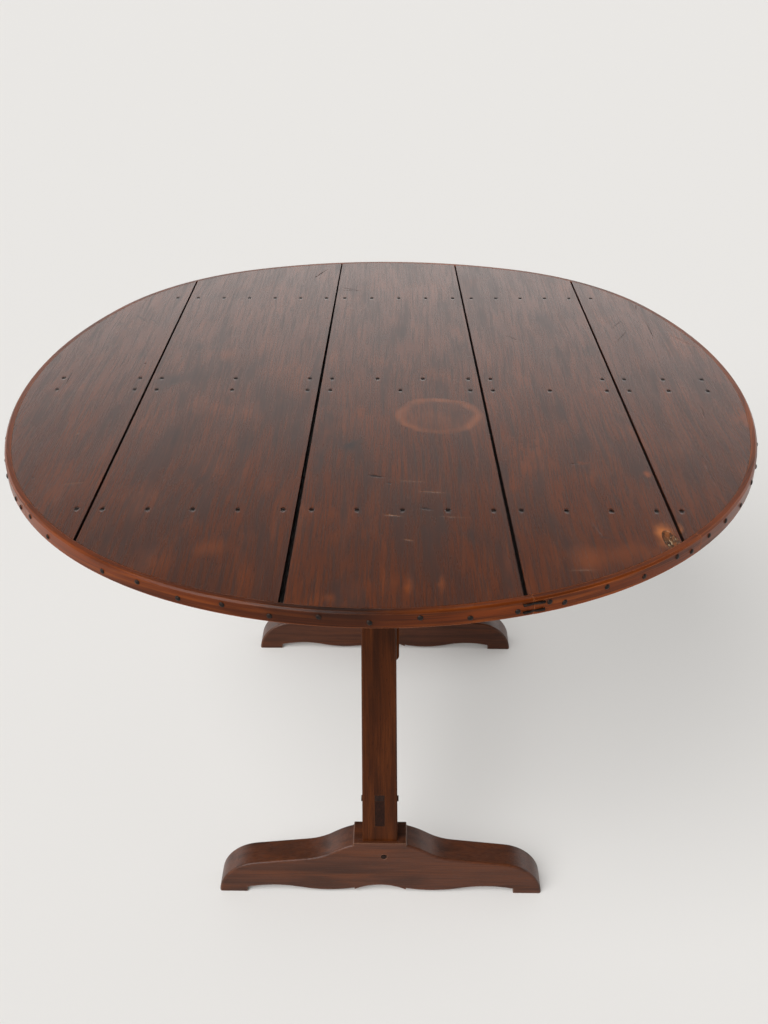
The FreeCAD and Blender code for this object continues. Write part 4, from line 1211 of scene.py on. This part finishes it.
@dataclass
class Trestle:
    """Feet, posts, stretcher and beam with their pegs and wedges.

    Args:
        ease: rounding of the worn edges, mm.
        foot_ease: rounding of the feet, where shoes have worn them, mm.
        peg_ease: rounding of the pegs, mm.
    """

    ease: float = 1.4
    foot_ease: float = 1.7
    peg_ease: float = 0.5

    def build(self) -> None:
        """Makes and dresses the pieces that stand on the floor."""
        feet = dict.fromkeys(("front_foot", "rear_foot"), Grain.ALONG_X)
        build_eased(feet, "trestle", "trestle_wood", SCUFFED_WALNUT, self.foot_ease, 0.3, 0.9)
        rails = {
            "front_post": Grain.ALONG_Z,
            "rear_post": Grain.ALONG_Z,
            "stretcher": Grain.ALONG_Y,
            "head_beam": Grain.ALONG_Y,
        }
        build_eased(
            rails, "trestle", "trestle_wood", TRESTLE_WALNUT, self.ease, 0.4, 0.83, stretcher=END_GRAIN
        )
        pegs = dict.fromkeys(
            ("foot_pegs", "stretcher_pegs", "tenon_wedges", "head_wedges"), Grain.ALONG_Z
        )
        build_eased(pegs, "trestle", "hardwood_peg", WHITTLED_OAK, self.peg_ease, 0.6)


@dataclass
class Wing:
    """The swinging wing that holds the top level.

    Args:
        ease: rounding of its edges, mm.
        peg_ease: rounding of its pegs, mm.
    """

    ease: float = 1.2
    peg_ease: float = 0.4

    def build(self) -> None:
        """Makes and dresses the wing."""
        rails = {
            "wing_pivot_stile": Grain.ALONG_Z,
            "wing_upper_arm": Grain.ALONG_X,
            "wing_lower_arm": Grain.ALONG_X,
            "wing_end_stile": Grain.ALONG_Z,
        }
        build_eased(rails, "wing", "trestle_wood", TRESTLE_WALNUT, self.ease, 5.1, 0.77)
        pegs = {"wing_pegs": Grain.ALONG_Y}
        build_eased(pegs, "wing", "hardwood_peg", WHITTLED_OAK, self.peg_ease, 9.0)


@dataclass
class Studio:
    """Pale floor, soft light and the camera.

    Args:
        floor: colour of the floor.
        floor_rough: its roughness.
        lift: share of the floor's own paleness that the camera sees in its shadows.
        contact: distance within which a piece over the floor keeps its full shadow, metres.
        floor_size: its side, metres.
        band: light of the pale surround near the horizon.
        above: light from overhead.
        band_height: elevations between which the surround falls off, degrees.
        near_side: share of the surround's light on the camera's side of the room.
        sides: how far along the room the light grows from that share to all of it.
        light: colour of that light.
        sun: strength of the soft lamp.
        sun_from: where it shines from.
        sun_spread: its angular width, degrees.
        eye: place of the camera, metres.
        heading: direction that it looks in.
        roll: its tilt about that direction, radians.
        focal: focal length, px of a picture that is picture_height px high.
        picture_height: px.
        sensor: width of its sensor, mm.
    """

    floor: str = "#E9E7E4"
    floor_rough: float = 0.9
    lift: float = 0.5
    contact: float = 0.12
    floor_size: float = 60.0
    band: float = 1.9
    above: float = 0.05
    band_height: tuple[float, float] = (17.0, 32.0)
    near_side: float = 0.55
    sides: tuple[float, float] = (-0.8, 0.4)
    light: Colour = (1.0, 0.985, 0.97, 1.0)
    sun: float = 3.1
    sun_from: tuple[float, float, float] = (-0.5, -0.5, 0.7)
    sun_spread: float = 46.0
    eye: tuple[float, float, float] = (0.0256, -1.5763, 1.4713)
    heading: tuple[float, float, float] = (-0.0121, 0.8533, -0.5213)
    roll: float = -0.003256
    focal: float = 1140.0
    picture_height: float = 1024.0
    sensor: float = 36.0

    def build(self) -> None:
        """Makes the floor, the light and the camera."""
        self.lay_floor()
        self.surround()
        self.lamp()
        self.camera()
        bpy.context.scene.view_settings.view_transform = "Standard"

    def lay_floor(self) -> None:
        """Lays the plain pale floor."""
        deselect()
        bpy.ops.mesh.primitive_plane_add(size=self.floor_size, location=(0, 0, 0))
        floor = bpy.context.active_object
        floor.name = "floor"
        # Plain paper: matt and even, so that it shows nothing but soft shadows.
        material, tree = new_material("floor_plain_paper")
        own = linear(self.floor)
        paper = add_node(tree, "BsdfPrincipled", {"Base Color": own, "Roughness": self.floor_rough})
        pale = add_node(tree, "Emission", {"Color": own, "Strength": 1.0})
        rays = add_node(tree, "LightPath").node.outputs
        sight = (rays["Is Camera Ray"], rays["Is Glossy Ray"])
        seen = add_node(tree, "Math", sight, operation="MAXIMUM")
        open_air = add_node(tree, "AmbientOcclusion", {"Distance": self.contact}, "AO")
        level = add_node(tree, "Math", (open_air, self.lift), operation="MULTIPLY")
        share = add_node(tree, "Math", (seen, level), operation="MULTIPLY")
        both = add_node(tree, "MixShader", (share, paper, pale))
        add_node(tree, "OutputMaterial", {"Surface": both})
        floor.data.materials.append(material)

    def surround(self) -> None:
        """Lights the scene from a pale surround that is brightest low down behind the table."""
        world = bpy.data.worlds.new("studio")
        bpy.context.scene.world = world
        world.use_nodes = True
        tree = world.node_tree
        tree.nodes.clear()
        place = add_node(tree, "TexCoord", out="Generated")
        toward = add_node(tree, "SeparateXYZ", (place,)).node.outputs
        start, end = (math.sin(math.radians(angle)) for angle in self.band_height)
        levels = (toward["Z"], start, end, self.band, self.above)
        level = add_node(tree, "MapRange", levels, interpolation_type="SMOOTHSTEP")
        side = add_node(tree, "MapRange", (toward["Y"], *self.sides, self.near_side, 1.0))
        strength = add_node(tree, "Math", (level, side), operation="MULTIPLY")
        light = add_node(tree, "Background", {"Color": self.light, "Strength": strength})
        seen = add_node(tree, "Background", {"Color": linear(self.floor), "Strength": 1.0})
        camera = add_node(tree, "LightPath", out="Is Camera Ray")
        both = add_node(tree, "MixShader", (camera, light, seen))
        add_node(tree, "OutputWorld", {"Surface": both})

    def lamp(self) -> None:
        """Hangs the wide soft lamp on the left."""
        deselect()
        bpy.ops.object.light_add(type="SUN", location=self.sun_from)
        lamp = bpy.context.active_object
        lamp.name = "soft_lamp"
        lamp.data.energy = self.sun
        lamp.data.angle = math.radians(self.sun_spread)
        lamp.rotation_euler = (-Vector(self.sun_from)).to_track_quat("-Z", "Y").to_euler()

    def camera(self) -> None:
        """Sets the camera at the height and angle of the photograph."""
        deselect()
        bpy.ops.object.camera_add(location=self.eye)
        camera = bpy.context.active_object
        camera.data.sensor_width = self.sensor
        camera.data.lens = self.focal * self.sensor / self.picture_height
        turn = Vector(self.heading).to_track_quat("-Z", "Y") @ Quaternion((0, 0, 1), self.roll)
        camera.rotation_mode = "QUATERNION"
        camera.rotation_quaternion = turn
        bpy.context.scene.camera = camera


def main() -> None:
    """Builds the studio and dresses every sub-assembly of the table."""
    logging.basicConfig(level=logging.INFO, format="%(name)s: %(message)s")
    Studio().build()
    PlankTop().build()
    NailedHoop().build()
    Underside().build()
    Trestle().build()
    Wing().build()


if __name__ == "__main__":
    main()
